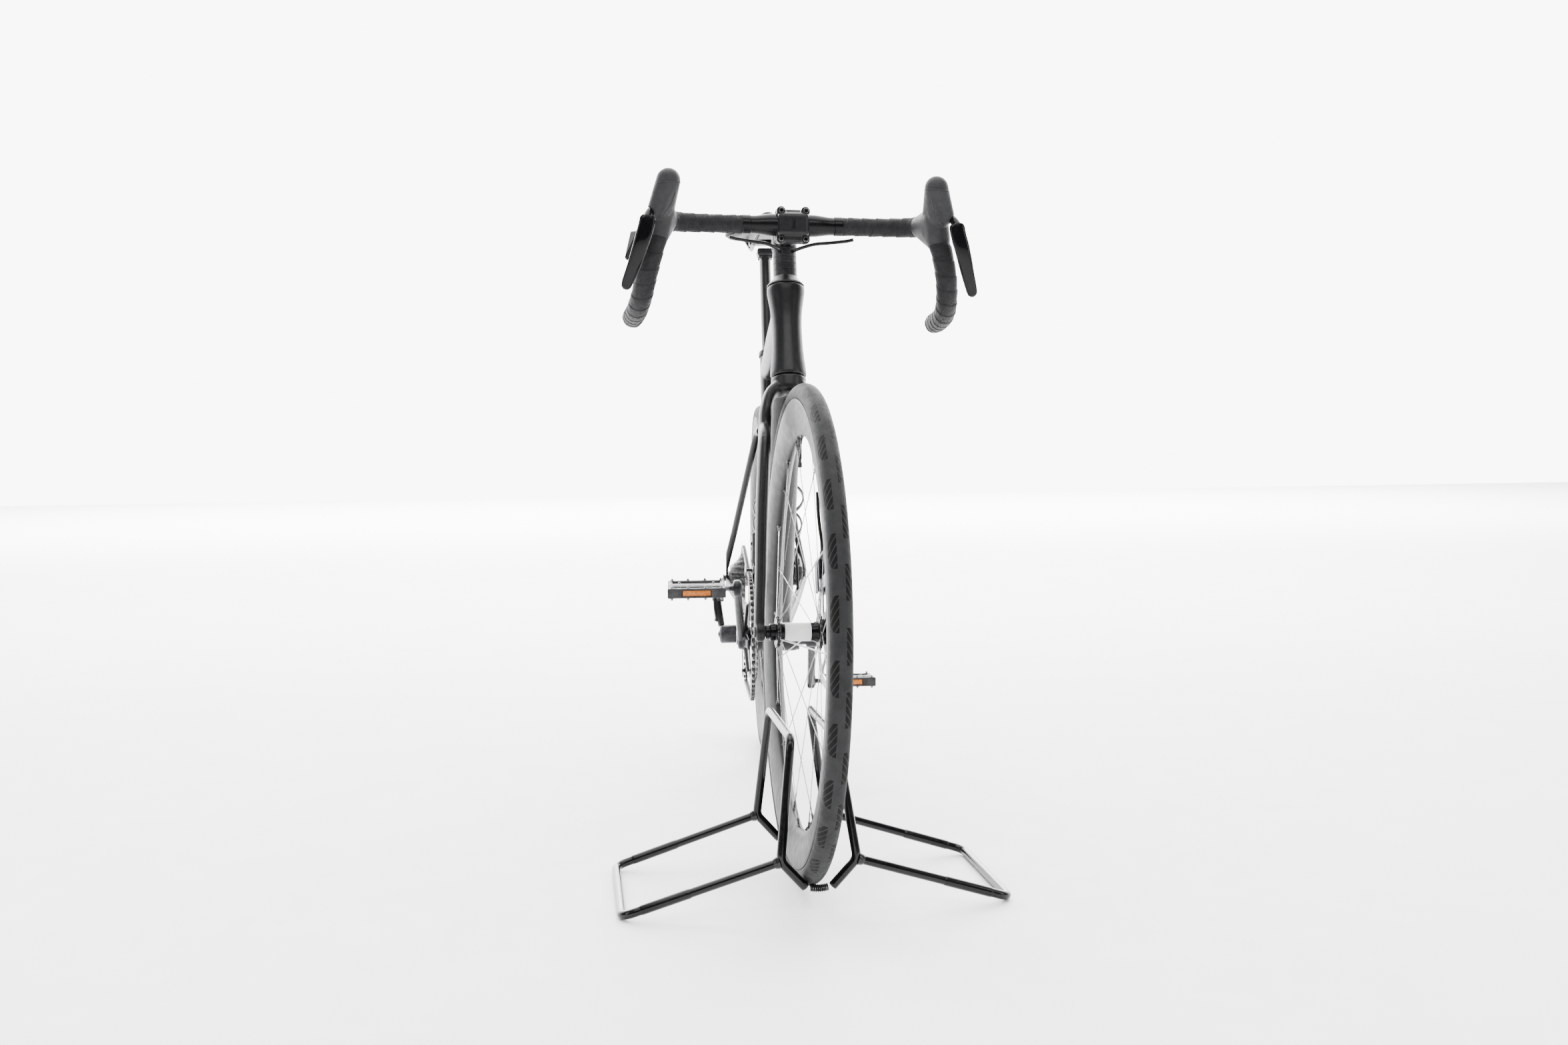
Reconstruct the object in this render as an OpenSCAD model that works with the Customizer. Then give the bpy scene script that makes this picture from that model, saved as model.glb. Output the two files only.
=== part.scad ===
/* [Wheels] */
// Outer radius of both tyres
tyre_r = 339; // [336:1:342]
// Tyre section width
tyre_w = 29; // [27:1:30]
// Depth of the rim from its outer edge to its inner edge
rim_depth = 50; // [44:1:54]
// Spokes in each wheel
spoke_count = 24; // [20:4:28]

/* [Frame] */
// Rear axle to front axle distance
wheelbase = 991; // [988:1:994]
// Angle of the steering axis from level
head_angle = 73.5; // [73.4:0.1:73.6]
// Height of the crank axis over the floor with both wheels level
bb_height = 266; // [264:1:268]
// Length of the head tube
head_len = 140; // [136:1:144]

/* [Steering] */
// Angle of the fork and bar at rest, in degrees
steer_rest = 4.37; // [3.5:0.01:5]
// Height that the stand holds the front wheel off the floor
lift = 11.9; // [11:0.1:13]
// Half the width of the bar at its drop ends
drop_half = 224; // [220:1:228]

/* [Crank] */
// Crank arm length
crank_len = 172.5; // [170:0.5:175]
// Angle of the right crank above level at rest
crank_rest = 34.4; // [30:0.1:38]

/* [Stand] */
// Half the width of the stand at its feet
foot_half = 255; // [250:1:260]
// Radius of the stand's bare tube
stand_r = 6; // [5.5:0.1:6.2]
// Half the length of the stand's feet
foot_x = 125; // [122:1:128]

/* [Hidden] */
$fn = 32;
ox = -494.97;
oy = -3.42;
R = tyre_r;
bb = [403.4, 0, bb_height];
ca = cos(head_angle); sa = sin(head_angle);
hax = [-ca, 0, sa];
hp = [944.1, 0, 339];
function onax(z) = [944.1 - (z - 339) * ca / sa, 0, z];
ht_top = onax(826);
ht_bot = ht_top - hax * head_len;
pitch = asin(lift / wheelbase);
fa = [wheelbase, 0, R];
ra = [0, 0, R];
st_top = onax(768);
st_a = 90 - 73.5;
function onseat(s) = bb + s * [-sin(16.5), 0, cos(16.5)];
seat_ax = [-sin(16.5), 0, cos(16.5)];
bar_c = [866, 0, 908];
rim_r = R - 22.5;
rim_in = rim_r - rim_depth + 0.5;
cr = crank_rest;
pr = bb + crank_len * [cos(cr), 0, sin(cr)];
pl = bb - crank_len * [cos(cr), 0, sin(cr)];
sp_z = 33;
piv = [0, 0, sp_z];
nf = [52, 36];
pitch_c = 12.7;
function prad(n) = pitch_c / (2 * sin(180 / n));
cog = [11, 12, 13, 14, 15, 16, 17, 19, 21, 24, 27, 30];
cog_n = 12;
cog_y = [for (i = [0:11]) -66.1 + i * 2.35];
ring_y = -43.5;
chain_cog = 11;
up_c = [6, cog_y[chain_cog], 229];
lo_c = [36, cog_y[chain_cog], 160];
jr = 23.5;

module B() translate([ox, oy, 0]) translate([0, 0, R]) rotate([0, -pitch, 0]) translate([0, 0, -R]) children();
module F() B() translate(hp) rotate(a = steer_rest, v = hax) translate(-hp) children();
sd = steer_rest * sa;
function rodr(p) = let (v = p - hp, k = hax, c = cos(steer_rest), s = sin(steer_rest)) hp + v * c + cross(k, v) * s + k * (k * v) * (1 - c);
fcx = rodr(fa);
fcw = [fcx[0] * cos(pitch) - (fcx[2] - R) * sin(pitch), fcx[1], 0];
module S() translate([ox + fcw[0], oy + fcw[1], 0]) rotate([0, 0, sd]) children();

module rod(a, b, r) { v = b - a; L = norm(v); translate(a) rotate([0, acos(v[2] / L), atan2(v[1], v[0])]) cylinder(r = r, h = L); }
module taper(a, b, r1, r2) { v = b - a; L = norm(v); translate(a) rotate([0, acos(v[2] / L), atan2(v[1], v[0])]) cylinder(r1 = r1, r2 = r2, h = L); }
module ball(p, r) translate(p) sphere(r = r);
module ycyl(p, r, h) translate(p) rotate([90, 0, 0]) cylinder(r = r, h = h, center = true);
function unit(v) = v / norm(v);
function ell(a, b, n = 24) = [for (i = [0:n - 1]) [a * cos(360 * i / n), b * sin(360 * i / n)]];
module blade(a, b, h, w) { v = b - a; L = norm(v); translate(a) rotate([0, acos(v[2] / L), atan2(v[1], v[0])]) linear_extrude(height = L) polygon(ell(h, w)); }

// Catmull-Rom smoothing of hand-set route points
function crp(p, i, t) = let (n = len(p), a = p[max(i - 1, 0)], b = p[i], c = p[min(i + 1, n - 1)], d = p[min(i + 2, n - 1)])
  0.5 * ((2 * b) + (c - a) * t + (2 * a - 5 * b + 4 * c - d) * t * t + (3 * b - a - 3 * c + d) * t * t * t);
function smooth(p, m) = [for (i = [0:len(p) - 2]) for (j = [0:m - 1]) crp(p, i, j / m), p[len(p) - 1]];
function tang(p, i) = unit(p[min(i + 1, len(p) - 1)] - p[max(i - 1, 0)]);
function nxt(n0, t) = unit(n0 - t * (n0 * t));
function norms(p, i, n0) = i >= len(p) ? [] : let (t = tang(p, i), n1 = nxt(n0, t)) concat([n1], norms(p, i + 1, n1));
module sweep(p, r, k = 12, up = [0.3, 0.2, 1]) {
  ns = norms(p, 0, nxt(up, tang(p, 0)));
  m = len(p);
  pts = [for (i = [0:m - 1]) let (t = tang(p, i), u = ns[i], w = cross(t, u)) for (j = [0:k - 1]) p[i] + (is_list(r) ? r[i] : r) * (cos(360 * j / k) * u + sin(360 * j / k) * w)];
  faces = concat([[for (j = [0:k - 1]) j]], [[for (j = [0:k - 1]) (m - 1) * k + k - 1 - j]],
    [for (i = [0:m - 2]) for (j = [0:k - 1]) [i * k + j, (i + 1) * k + j, (i + 1) * k + (j + 1) % k]],
    [for (i = [0:m - 2]) for (j = [0:k - 1]) [i * k + j, (i + 1) * k + (j + 1) % k, i * k + (j + 1) % k]]);
  polyhedron(points = pts, faces = faces, convexity = 4);
}

// A tube bent round each inner route point with bend radius b
function arcp(p, i, b, m) = let (u = unit(p[i] - p[i - 1]), v = unit(p[i + 1] - p[i]), th = acos(u * v), n = unit(v - u * (u * v)), c = p[i] - u * b * tan(th / 2) + n * b)
  [for (j = [0:m]) c + b * (u * sin(th * j / m) - n * cos(th * j / m))];
function round_route(p, b, m) = concat([p[0]], [for (i = [1:len(p) - 2]) each arcp(p, i, b, m)], [p[len(p) - 1]]);
module bent(p, r, b, k = 12, m = 4) sweep(round_route(p, b, m), r, k);

// ---------------- frame ----------------
module frame_tubes() B() color("#202124") difference() {
  union() {
    rod(ht_bot, ht_top, 23);
    taper(ht_bot, ht_bot + hax * 40, 26.5, 23);
    taper(ht_top - hax * 40, ht_top - hax * 8, 23, 28);
    rod(ht_top - hax * 8, ht_top, 28);
    blade(ht_bot + hax * 34, bb + [12, 0, 14], 25, 24);
    blade(ht_top - hax * 26, onseat(486), 20, 17);
    blade(onseat(10), onseat(512), 22, 14.5);
    ycyl(bb, 24, 72);
  }
  rod(ht_bot - hax * 45, ht_bot - hax * 0.01, 27.6);
  rod(ht_bot - hax * 2, ht_bot + hax * 10, 21);
  rod(ht_top - hax * 10, ht_top + hax * 2, 21);
  rod(ht_bot - hax * 2, ht_top + hax * 2, 16);
  ycyl(bb, 20.5, 80);
  translate(onseat(170)) rotate([0, -16.5, 0]) linear_extrude(height = 400) polygon(ell(17.4, 10.4, 32));
}
cs_end = [[0, -66.5, 339], [0, 67, 339]];
module frame_stays() B() color("#202124") difference() {
  union() for (s = [-1, 1]) {
    bent([bb + [-24.5, s * 22, 2], [300, s * 24, 276], [150, s * 52, 305], [10, s * 75.5, 334]], 8.5, 80);
    bent([onseat(372) + [-14, s * 19.5, 0], [250, s * 21, 622], [60, s * 60, 430], [12, s * 76, 362], [3, s * 76, 338]], 6.5, 18);
    ycyl([0, s * 75.5, 339], 15, 7);
  }
  for (s = [-1, 1]) { ycyl([0, s * 76, 339], 6.3, 30); translate([-40, s > 0 ? 79 : -119, 290]) cube([110, 40, 160]); }
  ycyl([0, -36.05, 339], 27, 70.6);
  ycyl([0, 36.05, 339], 19, 71.1);
  ycyl(bb, 25, 60);
  translate(onseat(300)) rotate([0, -16.5, 0]) linear_extrude(height = 120) polygon(ell(22.1, 14.6, 24));
}
module bottom_bracket() B() color("#3a3c40") for (s = [-1, 1]) difference() {
  union() { ycyl(bb + [0, s * 29, 0], 20.5, 14); ycyl(bb + [0, s * 37.6, 0], 22.5, 3.2); }
  ycyl(bb + [0, s * 30, 0], 14.4, 40);
}
module head_bearings() B() color("#8a8c90") {
  for (k = [0, 1]) difference() {
    rod(k ? ht_top - hax * 9.9 : ht_bot + hax * 1.5, k ? ht_top - hax * 1.5 : ht_bot + hax * 9.9, 20.9);
    rod(k ? ht_top - hax * 12 : ht_bot, k ? ht_top : ht_bot + hax * 12, 14.4);
  }
}
module seat_clamp() B() color("#26282c") translate(onseat(512.2)) rotate([0, -16.5, 0]) difference() {
  union() { linear_extrude(height = 8) polygon(ell(24, 16.5, 32)); translate([-30, -7, 0]) cube([12, 14, 8]); }
  translate([0, 0, -1]) linear_extrude(height = 10) polygon(ell(17.4, 10.4, 32));
  translate([-32, -1, -1]) cube([20, 2, 10]);
}
module rear_axle_unit() B() color("#2c2e32") {
  ycyl([0, 0, 339], 6, 158);
  ycyl([0, 80.6, 339], 9, 3);
  ycyl([0, -80.4, 339], 7.5, 2.6);
  difference() { union() { blade([0, -82.4, 339], [-14, -84, 306], 9, 3.2); }
    ycyl([0, -81, 339], 8, 20); ycyl([-14, -88, 304], 13.05, 15.2); translate([-60, -79.1, 280]) cube([120, 20, 90]); }
}
module rear_caliper() B() color("#1b1c1e") difference() {
  union() { translate([66, 57, 362]) rotate([0, 20, 0]) cube([62, 25, 30], center = true);
    translate([68, 57, 379]) rotate([0, 20, 0]) cube([34, 18, 14], center = true); }
  ycyl([0, 51, 339], 81.2, 4.4);
  bent([bb + [-24.5, 22, 2], [300, 24, 276], [150, 52, 305], [10, 75.5, 334]], 9, 80);
  bent([[250, 21, 622], [60, 60, 430], [12, 76, 362], [3, 76, 338]], 6.9, 18);
}
dtd = unit(ht_bot + hax * 34 - bb); dtn = [-dtd[2], 0, dtd[0]];
cage_o = bb + dtd * 179 + dtn * 25.6;
module cg() translate(cage_o) rotate([0, 90 - asin(dtd[2]), 0]) children();
module bottle_cage() B() color("#16171a") cg() {
  translate([-3, -11, -4]) cube([3, 22, 122]);
  for (z = [46, 111]) translate([-5.4, 0, z]) rotate([0, 90, 0]) cylinder(r = 4.5, h = 3);
  for (s = [-1, 1]) difference() {
    translate([-42.4, 0, s > 0 ? 88 : 62]) cylinder(r = 42, h = 9);
    translate([-42.4, 0, 50]) cylinder(r = 38.5, h = 60);
    translate([-90, s > 0 ? -60 : 0, 40]) cube([100, 60, 80]);
    translate([-100, -30, 40]) cube([45, 60, 80]);
  }
  difference() { translate([-42.4, 0, 26]) cylinder(r = 42, h = 8); translate([-42.4, 0, 20]) cylinder(r = 38.5, h = 60); translate([-100, -21, 20]) cube([50, 42, 40]); }
  translate([-60, -14, -4]) cube([60, 28, 3]);
  translate([-62, -14, -4]) cube([3, 28, 14]);
}
fd = bb + [-26, -43.5, 128];
module front_derailleur() B() color("#1d1e20") {
  translate([392, -32, 418]) rotate([0, -10, 0]) cube([34, 15, 62], center = true);
  translate(onseat(150) + [0, -19.8, 0]) cube([14, 10, 20], center = true);
  difference() {
    translate([388, -44, 385]) rotate([0, 6, 0]) cube([84, 14, 22], center = true);
    translate([388, -44, 380]) rotate([0, 6, 0]) cube([120, 10.4, 28], center = true);
    ycyl(bb, prad(52) + 8, 100);
  }
}
module rear_derailleur() B() color("#1d1e20") {
  difference() { ycyl([-14, -88, 304], 13, 15); }
  blade([-16, -91, 299], [-4, -86, 246], 10, 7.5);
  ycyl([up_c[0], -73, up_c[2]], 18, 36);
  rod([-16, -98, 300], [-6, -94, 250], 6);
}
module rear_hose() B() color("#111") sweep(smooth([[72, 57, 391], [96, 56, 399], [117, 57, 368], [126, 57.5, 323]], 5), 2.5, 8);

// ---------------- seat ----------------
module seatpost() B() color("#1c1d20") {
  translate(onseat(300)) rotate([0, -16.5, 0]) linear_extrude(height = 408) polygon(ell(17, 10, 32));
  hd = onseat(714);
  difference() { translate(hd) cube([46, 30, 14], center = true); for (s = [-1, 1]) rod(hd + [-60, s * 22, 11.6], hd + [60, s * 22, 11.6], 3.6); }
  for (s = [-1, 1]) ycyl(hd + [s * 15, 0, -8], 4, 24);
}
sh = onseat(714) + [0, 0, 11.6];
module saddle_rails() B() color("#55585d") {
  for (s = [-1, 1]) difference() {
    bent([sh + [-95, s * 30, 22], sh + [-62, s * 22, 2], sh + [-30, s * 22, 0], sh + [42, s * 22, 0], sh + [105, s * 12, 16]], 3.5, 12);
  }
  difference() { translate(sh + [0, 0, 6.6]) cube([40, 58, 9], center = true); for (s = [-1, 1]) rod(sh + [-60, s * 22, 0], sh + [60, s * 22, 0], 3.55); }
}
module saddle_poly(k) polygon([for (s = [1, -1]) for (p = (s > 0 ? [[-122, 0], [-120, 40], [-108, 66], [-80, 71], [-40, 60], [0, 38], [40, 24], [90, 19], [128, 14], [140, 0]] : [[128, -14], [90, -19], [40, -24], [0, -38], [-40, -60], [-80, -71], [-108, -66], [-120, -40]])) [p[0] * k + 2, p[1] * k]]);
module saddle_shell() B() color("#141517") translate(sh + [0, 0, 24]) linear_extrude(height = 5) difference() { saddle_poly(0.94); square([0.1, 0.1]); }
module saddle_cover() B() color("#1a1a1c") translate(sh + [0, 0, 29]) difference() { linear_extrude(height = 17) saddle_poly(1); translate([-30, 0, 10]) cube([120, 12, 30], center = true); }

// ---------------- fork and bar ----------------
crown = ht_bot - hax * 22;
module fork() F() color("#1e1f22") difference() {
  union() {
    rod(ht_bot - hax * 24, ht_bot - hax * 0.6, 25.5);
    rod(ht_bot - hax * 8, ht_top + hax * 96, 14.3);
    taper(ht_bot - hax * 0.6, ht_bot + hax * 1.2, 17, 15.5);
    for (s = [-1, 1]) {
      bent([crown + [4, s * 12, 8], crown + [9, s * 30, -6], crown + [26, s * 37, -40]], 9.5, 14);
      blade(crown + [26, s * 37, -40], [941, s * 49.6, 500], 17, 9);
      blade([941, s * 49.6, 500], [985, s * 57, 352], 13, 8);
      ycyl([986, s * 57, 345], 12, 13);
      ball([941, s * 49.6, 500], 9.2);
      ycyl([wheelbase, s * 57, R], 13, 13);
    }
  }
  ycyl([wheelbase, 0, R], 6.3, 140);
  ycyl([wheelbase, 0, R], R + 5, 40);
}
sp0 = ht_top + hax * 0.5;
module spacers() F() color("#1f2023") difference() {
  union() {
    taper(sp0, sp0 + hax * 14, 27.6, 18);
    for (i = [0:3]) rod(sp0 + hax * (14.2 + i * 10.2), sp0 + hax * (14.2 + i * 10.2 + 10), 17.5);
    rod(sp0 + hax * 55, sp0 + hax * 57.8, 17.5);
  }
  rod(sp0 - hax * 2, sp0 + hax * 70, 14.35);
}
stm = ht_top + hax * 79;
module stem() F() color("#18191b") difference() {
  union() {
    rod(ht_top + hax * 58.6, ht_top + hax * 98, 18.5);
    blade(stm + [8, 0, 0], bar_c - [8, 0, 0], 17, 16);
    translate(bar_c + [-6.6, 0, -1]) cube([11, 49, 50], center = true);
    rod(ht_top + hax * 98.2, ht_top + hax * 103, 17.5);
    ycyl(stm + [-19, 0, 8], 5, 26); ycyl(stm + [-19, 0, -8], 5, 26);
  }
  rod(ht_top + hax * 50, ht_top + hax * 97, 14.35);
  rod(ht_top + hax * 46, ht_top + hax * 58.55, 20);
  ycyl(bar_c, 15.95, 60);
  translate(bar_c + [20, 0, 0]) cube([42, 70, 70], center = true);
  for (y = [-1, 1]) for (z = [-1, 1]) translate(bar_c + [-14, y * 17.5, z * 20 - 1]) rotate([0, 90, 0]) cylinder(r = 2.45, h = 30);
}
module stem_faceplate() F() color("#18191b") difference() {
  union() {
    translate(bar_c + [7, 0, -1]) cube([12, 50, 52], center = true);
    intersection() { ycyl(bar_c, 20, 46); translate(bar_c + [14, 0, 0]) cube([26, 60, 60], center = true); }
  }
  ycyl(bar_c, 15.95, 60);
  translate(bar_c + [18, 0, 0]) cube([12, 5, 16], center = true);
  for (y = [-1, 1]) for (z = [-1, 1]) translate(bar_c + [-4, y * 17.5, z * 20 - 1]) { rotate([0, 90, 0]) cylinder(r = 2.6, h = 30); translate([17.05, 0, 0]) rotate([0, 90, 0]) cylinder(r = 4.45, h = 14); }
}
module stem_bolts() F() color("#0c0c0d") for (y = [-1, 1]) for (z = [-1, 1]) translate(bar_c + [-10.4, y * 17.5, z * 20 - 1]) {
  rotate([0, 90, 0]) cylinder(r = 2.4, h = 23.6);
  difference() { translate([23.6, 0, 0]) rotate([0, 90, 0]) cylinder(r = 4.2, h = 4.5); translate([25.6, 0, 0]) rotate([0, 90, 0]) cylinder(r = 2.2, h = 5, $fn = 6); }
}
module handlebar() F() color("#0d0d0f") difference() {
  ycyl(bar_c, 15.9, 120);
  ycyl(bar_c, 13.5, 130);
}
function barpts(s) = [[866, s * 60.3, 908], [866, s * 100, 908], [867, s * 140, 908], [874, s * 166, 908], [892, s * 181, 907], [914, s * 187, 904], [930, s * 191, 897], [941, s * 196, 880], [943, s * 202, 860], [936, s * 209, 832], [916, s * 215, 803], [884, s * 219.5, 786], [845, s * 222, 780], [803, s * 224, 778]];
tape_r = [for (i = [0:26]) i < 4 ? 13.4 : i < 10 ? 13.4 + (i - 3) * 0.28 : 15.4];
module tape(s) sweep(smooth(barpts(s), 2), tape_r, 12);
module bar_tape_left() F() color("#232427") tape(1);
module bar_tape_right() F() color("#232427") tape(-1);
module bar_plugs() F() color("#0e0e0f") for (s = [-1, 1]) { rod([802, s * 224, 778], [798.8, s * 224.2, 777.8], 14.4); }
// hood: body over the bar's forward bend, rising to a rounded horn
module hood(s) difference() {
  hull() {
    translate([930, s * 190, 905]) sphere(r = 15.5, $fn = 16);
    translate([958, s * 192, 914]) sphere(r = 16, $fn = 16);
    translate([972, s * 199, 912]) sphere(r = 12, $fn = 16);
    translate([979, s * 184, 948]) sphere(r = 16.5, $fn = 16);
    translate([950, s * 188, 928]) sphere(r = 14, $fn = 16);
  }
  sweep(smooth(barpts(s), 2), 15.7, 12);
  hull() { for (p = [[973, 206, 909, 6.5], [986, 216, 894, 7], [980.7, 216, 890.7, 7], [973, 222, 885, 8]]) translate([p[0], s * p[1], p[2]]) sphere(r = p[3], $fn = 16); }
  translate([986, s * 222, 880]) cube([60, 24, 46], center = true);
}
module hood_left() F() color("#2a2b2e") hood(1);
module hood_right() F() color("#2a2b2e") hood(-1);
lp = [[972, 204, 905], [984, 216, 893], [985, 224, 868], [976, 233, 834], [962, 241, 801]];
function my(p, s) = [p[0], s * p[1], p[2]];
function lb(x, y0, y1, z, r, s) = [[x, s * y0, z, r], [x, s * y1, z, r]];
module balls(l) hull() for (p = l) translate([p[0], p[1], p[2]]) sphere(r = p[3], $fn = 12);
module lever(s) {
  balls([[973, s * 206, 909, 5.5], [986, s * 213, 896, 6]]);
  balls(concat(lb(986, 205.5, 219, 894, 5.2, s), lb(985, 214, 226.5, 862, 5, s)));
  balls(concat(lb(985, 214, 226.5, 862, 5, s), lb(966, 235.5, 242.5, 806, 4.4, s)));
}
module brake_lever_left() F() color("#0b0b0c") lever(1);
module brake_lever_right() F() color("#0b0b0c") lever(-1);
module paddle(s) hull() { translate(my([963, 231, 878], s)) sphere(r = 3.4, $fn = 12); translate(my([962, 237, 846], s)) sphere(r = 4.4, $fn = 12); translate(my([976.3, 224, 878], s)) sphere(r = 2.4, $fn = 12); }
module shift_paddle_left() F() color("#151517") paddle(1);
module shift_paddle_right() F() color("#151517") paddle(-1);
module front_axle_unit() F() color("#2c2e32") { ycyl([wheelbase, 0, R], 6, 129); ycyl([wheelbase, 65.9, R], 9, 4.2); ycyl([wheelbase, -65.2, R], 7.5, 2.8); }
module front_caliper() F() color("#1b1c1e") difference() {
  union() { translate([930, 40.8, 418]) rotate([0, -16, 0]) cube([27, 25, 66], center = true);
    translate([916, 40, 414]) rotate([0, -16, 0]) cube([18, 19, 34], center = true); }
  translate([930, 34.5, 400]) cube([160, 5, 160], center = true);
  blade([941, 49.6, 500], [985, 57, 352], 13.3, 8.3);
  ball([941, 49.6, 500], 9.6);
}
module front_hoses() F() color("#0f0f10") {
  sweep(smooth([[926, 38, 456], [921, 35, 478], [914, 33.5, 503], [907, 33.4, 528]], 4), 2.5, 8);
  sweep(smooth([[859, 104, 891], [853, 92, 885], [846, 62, 882], [838, 34, 880], [821, 17, 878.5], [803, 9.5, 879]], 4), 2.5, 8);
  sweep(smooth([[859, -104, 891], [853, -92, 885], [846, -62, 882], [838, -34, 880], [821, -17, 878.5], [803, -9.5, 879]], 4), 2.5, 8);
}

// ---------------- wheels ----------------
module rimsec() difference() {
  polygon([[rim_r, -13.5], [rim_r, 13.5], [rim_r - 8, 14], [rim_r - 22, 13], [rim_r - 36, 10], [rim_in + 4, 5.5], [rim_in, 2], [rim_in, -2], [rim_in + 4, -5.5], [rim_r - 36, -10], [rim_r - 22, -13], [rim_r - 8, -14]]);
  polygon([[rim_r - 5, -9.5], [rim_r - 5, 9.5], [rim_r - 22, 11.2], [rim_r - 35, 8.4], [rim_in + 7, 4], [rim_in + 7, -4], [rim_r - 35, -8.4], [rim_r - 22, -11.2]]);
}
module rim() rotate([90, 0, 0]) rotate_extrude($fn = 96) rimsec();
module tyre() rotate([90, 0, 0]) rotate_extrude($fn = 96) intersection() {
  difference() { translate([R - tyre_w / 2, 0]) circle(r = tyre_w / 2); translate([R - tyre_w / 2, 0]) circle(r = tyre_w / 2 - 3); }
  translate([rim_r + 0.2, -30]) square([60, 60]);
}
module disc(y, r1, t) difference() {
  ycyl([0, y, 0], r1, t); ycyl([0, y, 0], r1 - 15, t + 2);
}
module rotor(y) {
  disc(y, 80, 1.8);
  for (i = [0:5]) rotate([0, i * 60, 0]) translate([0, y, 44]) cube([8, 1.8, 44], center = true);
  difference() { ycyl([0, y, 0], 27, 1.8); ycyl([0, y, 0], 18, 6); }
}
module spokes(yr, yl, rr, rl) for (i = [0:spoke_count - 1]) {
  s = i % 2; a = 360 * i / spoke_count; o = (floor(i / 2) % 2 ? 1 : -1) * (s ? 24 : 24);
  yy = s ? yl : yr; hr = s ? rl : rr;
  rod([hr * cos(a + o), yy, hr * sin(a + o)], [(rim_in - 0.3) * cos(a), s ? 1.5 : -1.5, (rim_in - 0.3) * sin(a)], 1.1);
}
module hubbody(yr, yl, rr, rl) difference() {
  union() { ycyl([0, (yr + yl) / 2, 0], 12.5, yl - yr + 8); ycyl([0, yr, 0], rr, 3.4); ycyl([0, yl, 0], rl, 3.4); }
  ycyl([0, 0, 0], 6.05, 200);
}
module atF() F() translate(fa) children();
module atR() B() translate(ra) children();
module front_tyre() atF() color("#2b2c2e") tyre();
module front_rim() atF() color("#3c3e41") rim();
module front_spokes() atF() color("#9a9da1") spokes(-33, 25, 20.4, 22.4);
module front_hub() atF() color("#151618") union() { difference() { union() { hubbody(-33, 25, 20, 22); difference() { ycyl([0, -45, 0], 10, 10); ycyl([0, 0, 0], 6.05, 300); } } } difference() { ycyl([0, 37.4, 0], 17.5, 21); ycyl([0, 0, 0], 6.05, 200); } }
module front_rotor() atF() color("#a6a8ab") rotor(34.5);
module rear_tyre() atR() color("#2b2c2e") tyre();
module rear_rim() atR() color("#3c3e41") rim();
module rear_spokes() atR() color("#9a9da1") spokes(-19, 34, 24.6, 22.6);
module rear_hub() atR() color("#151618") { hubbody(-19, 34, 24, 22); difference() { ycyl([0, 55.5, 0], 17.5, 31); ycyl([0, 0, 0], 6.05, 200); } }
module rear_rotor() atR() color("#a6a8ab") rotor(51);

// ---------------- drivetrain ----------------
function gearpts(n, ro, ri) = [for (i = [0:n - 1]) for (k = [[-0.13, ro], [0.13, ro], [0.3, ri], [0.7, ri]]) let (a = (i + k[0]) * 360 / n) [k[1] * cos(a), k[1] * sin(a)]];
module gear(n, y, t, b) translate([0, y + t / 2, 0]) rotate([90, 0, 0]) linear_extrude(height = t) difference() { polygon(gearpts(n, prad(n) + 1.9, prad(n) - 4.4)); circle(r = b); }
module cassette() atR() color("#56585c") difference() {
  union() {
    for (i = [0:11]) gear(cog[i], cog_y[i], 1.6, i < 3 ? 12 : 17.2);
    difference() { ycyl([0, -46.6, 0], 17.1, 42); ycyl([0, 0, 0], 6.05, 300); }
    difference() { ycyl([0, -69.2, 0], 15, 3); ycyl([0, 0, 0], 6.05, 300); }
  }
}
module pinned() rotate([0, -cr, 0]) children();
module atC() B() translate(bb) pinned() children();
module crank_right() atC() color("#2a2b2e") difference() {
  union() {
    ycyl([0, 0, 0], 14.3, 118);
    ycyl([0, -56.5, 0], 20, 20);
    difference() { blade([0, -60, 0], [crank_len, -70, 0], 13.2, 6.6); }
    ycyl([crank_len, -70, 0], 14.2, 14.4);
    for (a = [40, 130, 220, 310]) rotate([0, a, 0]) blade([8, -53.4, 0], [53.6, -49.8, 0], 10.6, 2.9);
    ycyl([crank_len, -76.4, 0], 4.4, 15);
    ycyl([crank_len, -130, 0], 4.3, 104);
  }
  ycyl([crank_len, -66, 0], 4, 4);
}
module crank_left() atC() color("#2a2b2e") difference() {
  union() {
    ycyl([0, 61, 0], 19, 18);
    blade([0, 62, 0], [-crank_len, 70, 0], 12.8, 6.6);
    ycyl([-crank_len, 70, 0], 14, 14);
    ycyl([-crank_len, 130, 0], 4.3, 108);
  }
  ycyl([0, 50, 0], 14.5, 40);
}
module chainrings() atC() color("#3b3d41") {
  difference() { gear(52, ring_y, 2, 88); }
  difference() { gear(36, ring_y + 7.4, 2, 52); }
  difference() { ycyl([0, ring_y - 0.4, 0], 90, 2.8); ycyl([0, ring_y, 0], 66, 12); for (a = [40, 130, 220, 310]) rotate([0, a, 0]) translate([72, ring_y, 0]) rotate([90, 0, 0]) cylinder(r = 1.2, h = 20, center = true); }
  for (a = [40, 130, 220, 310]) rotate([0, a, 0]) { ycyl([60, -40.2, 0], 6, 12.6); blade([60, ring_y, 0], [68, ring_y, 0], 6, 1.3); }
}
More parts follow.
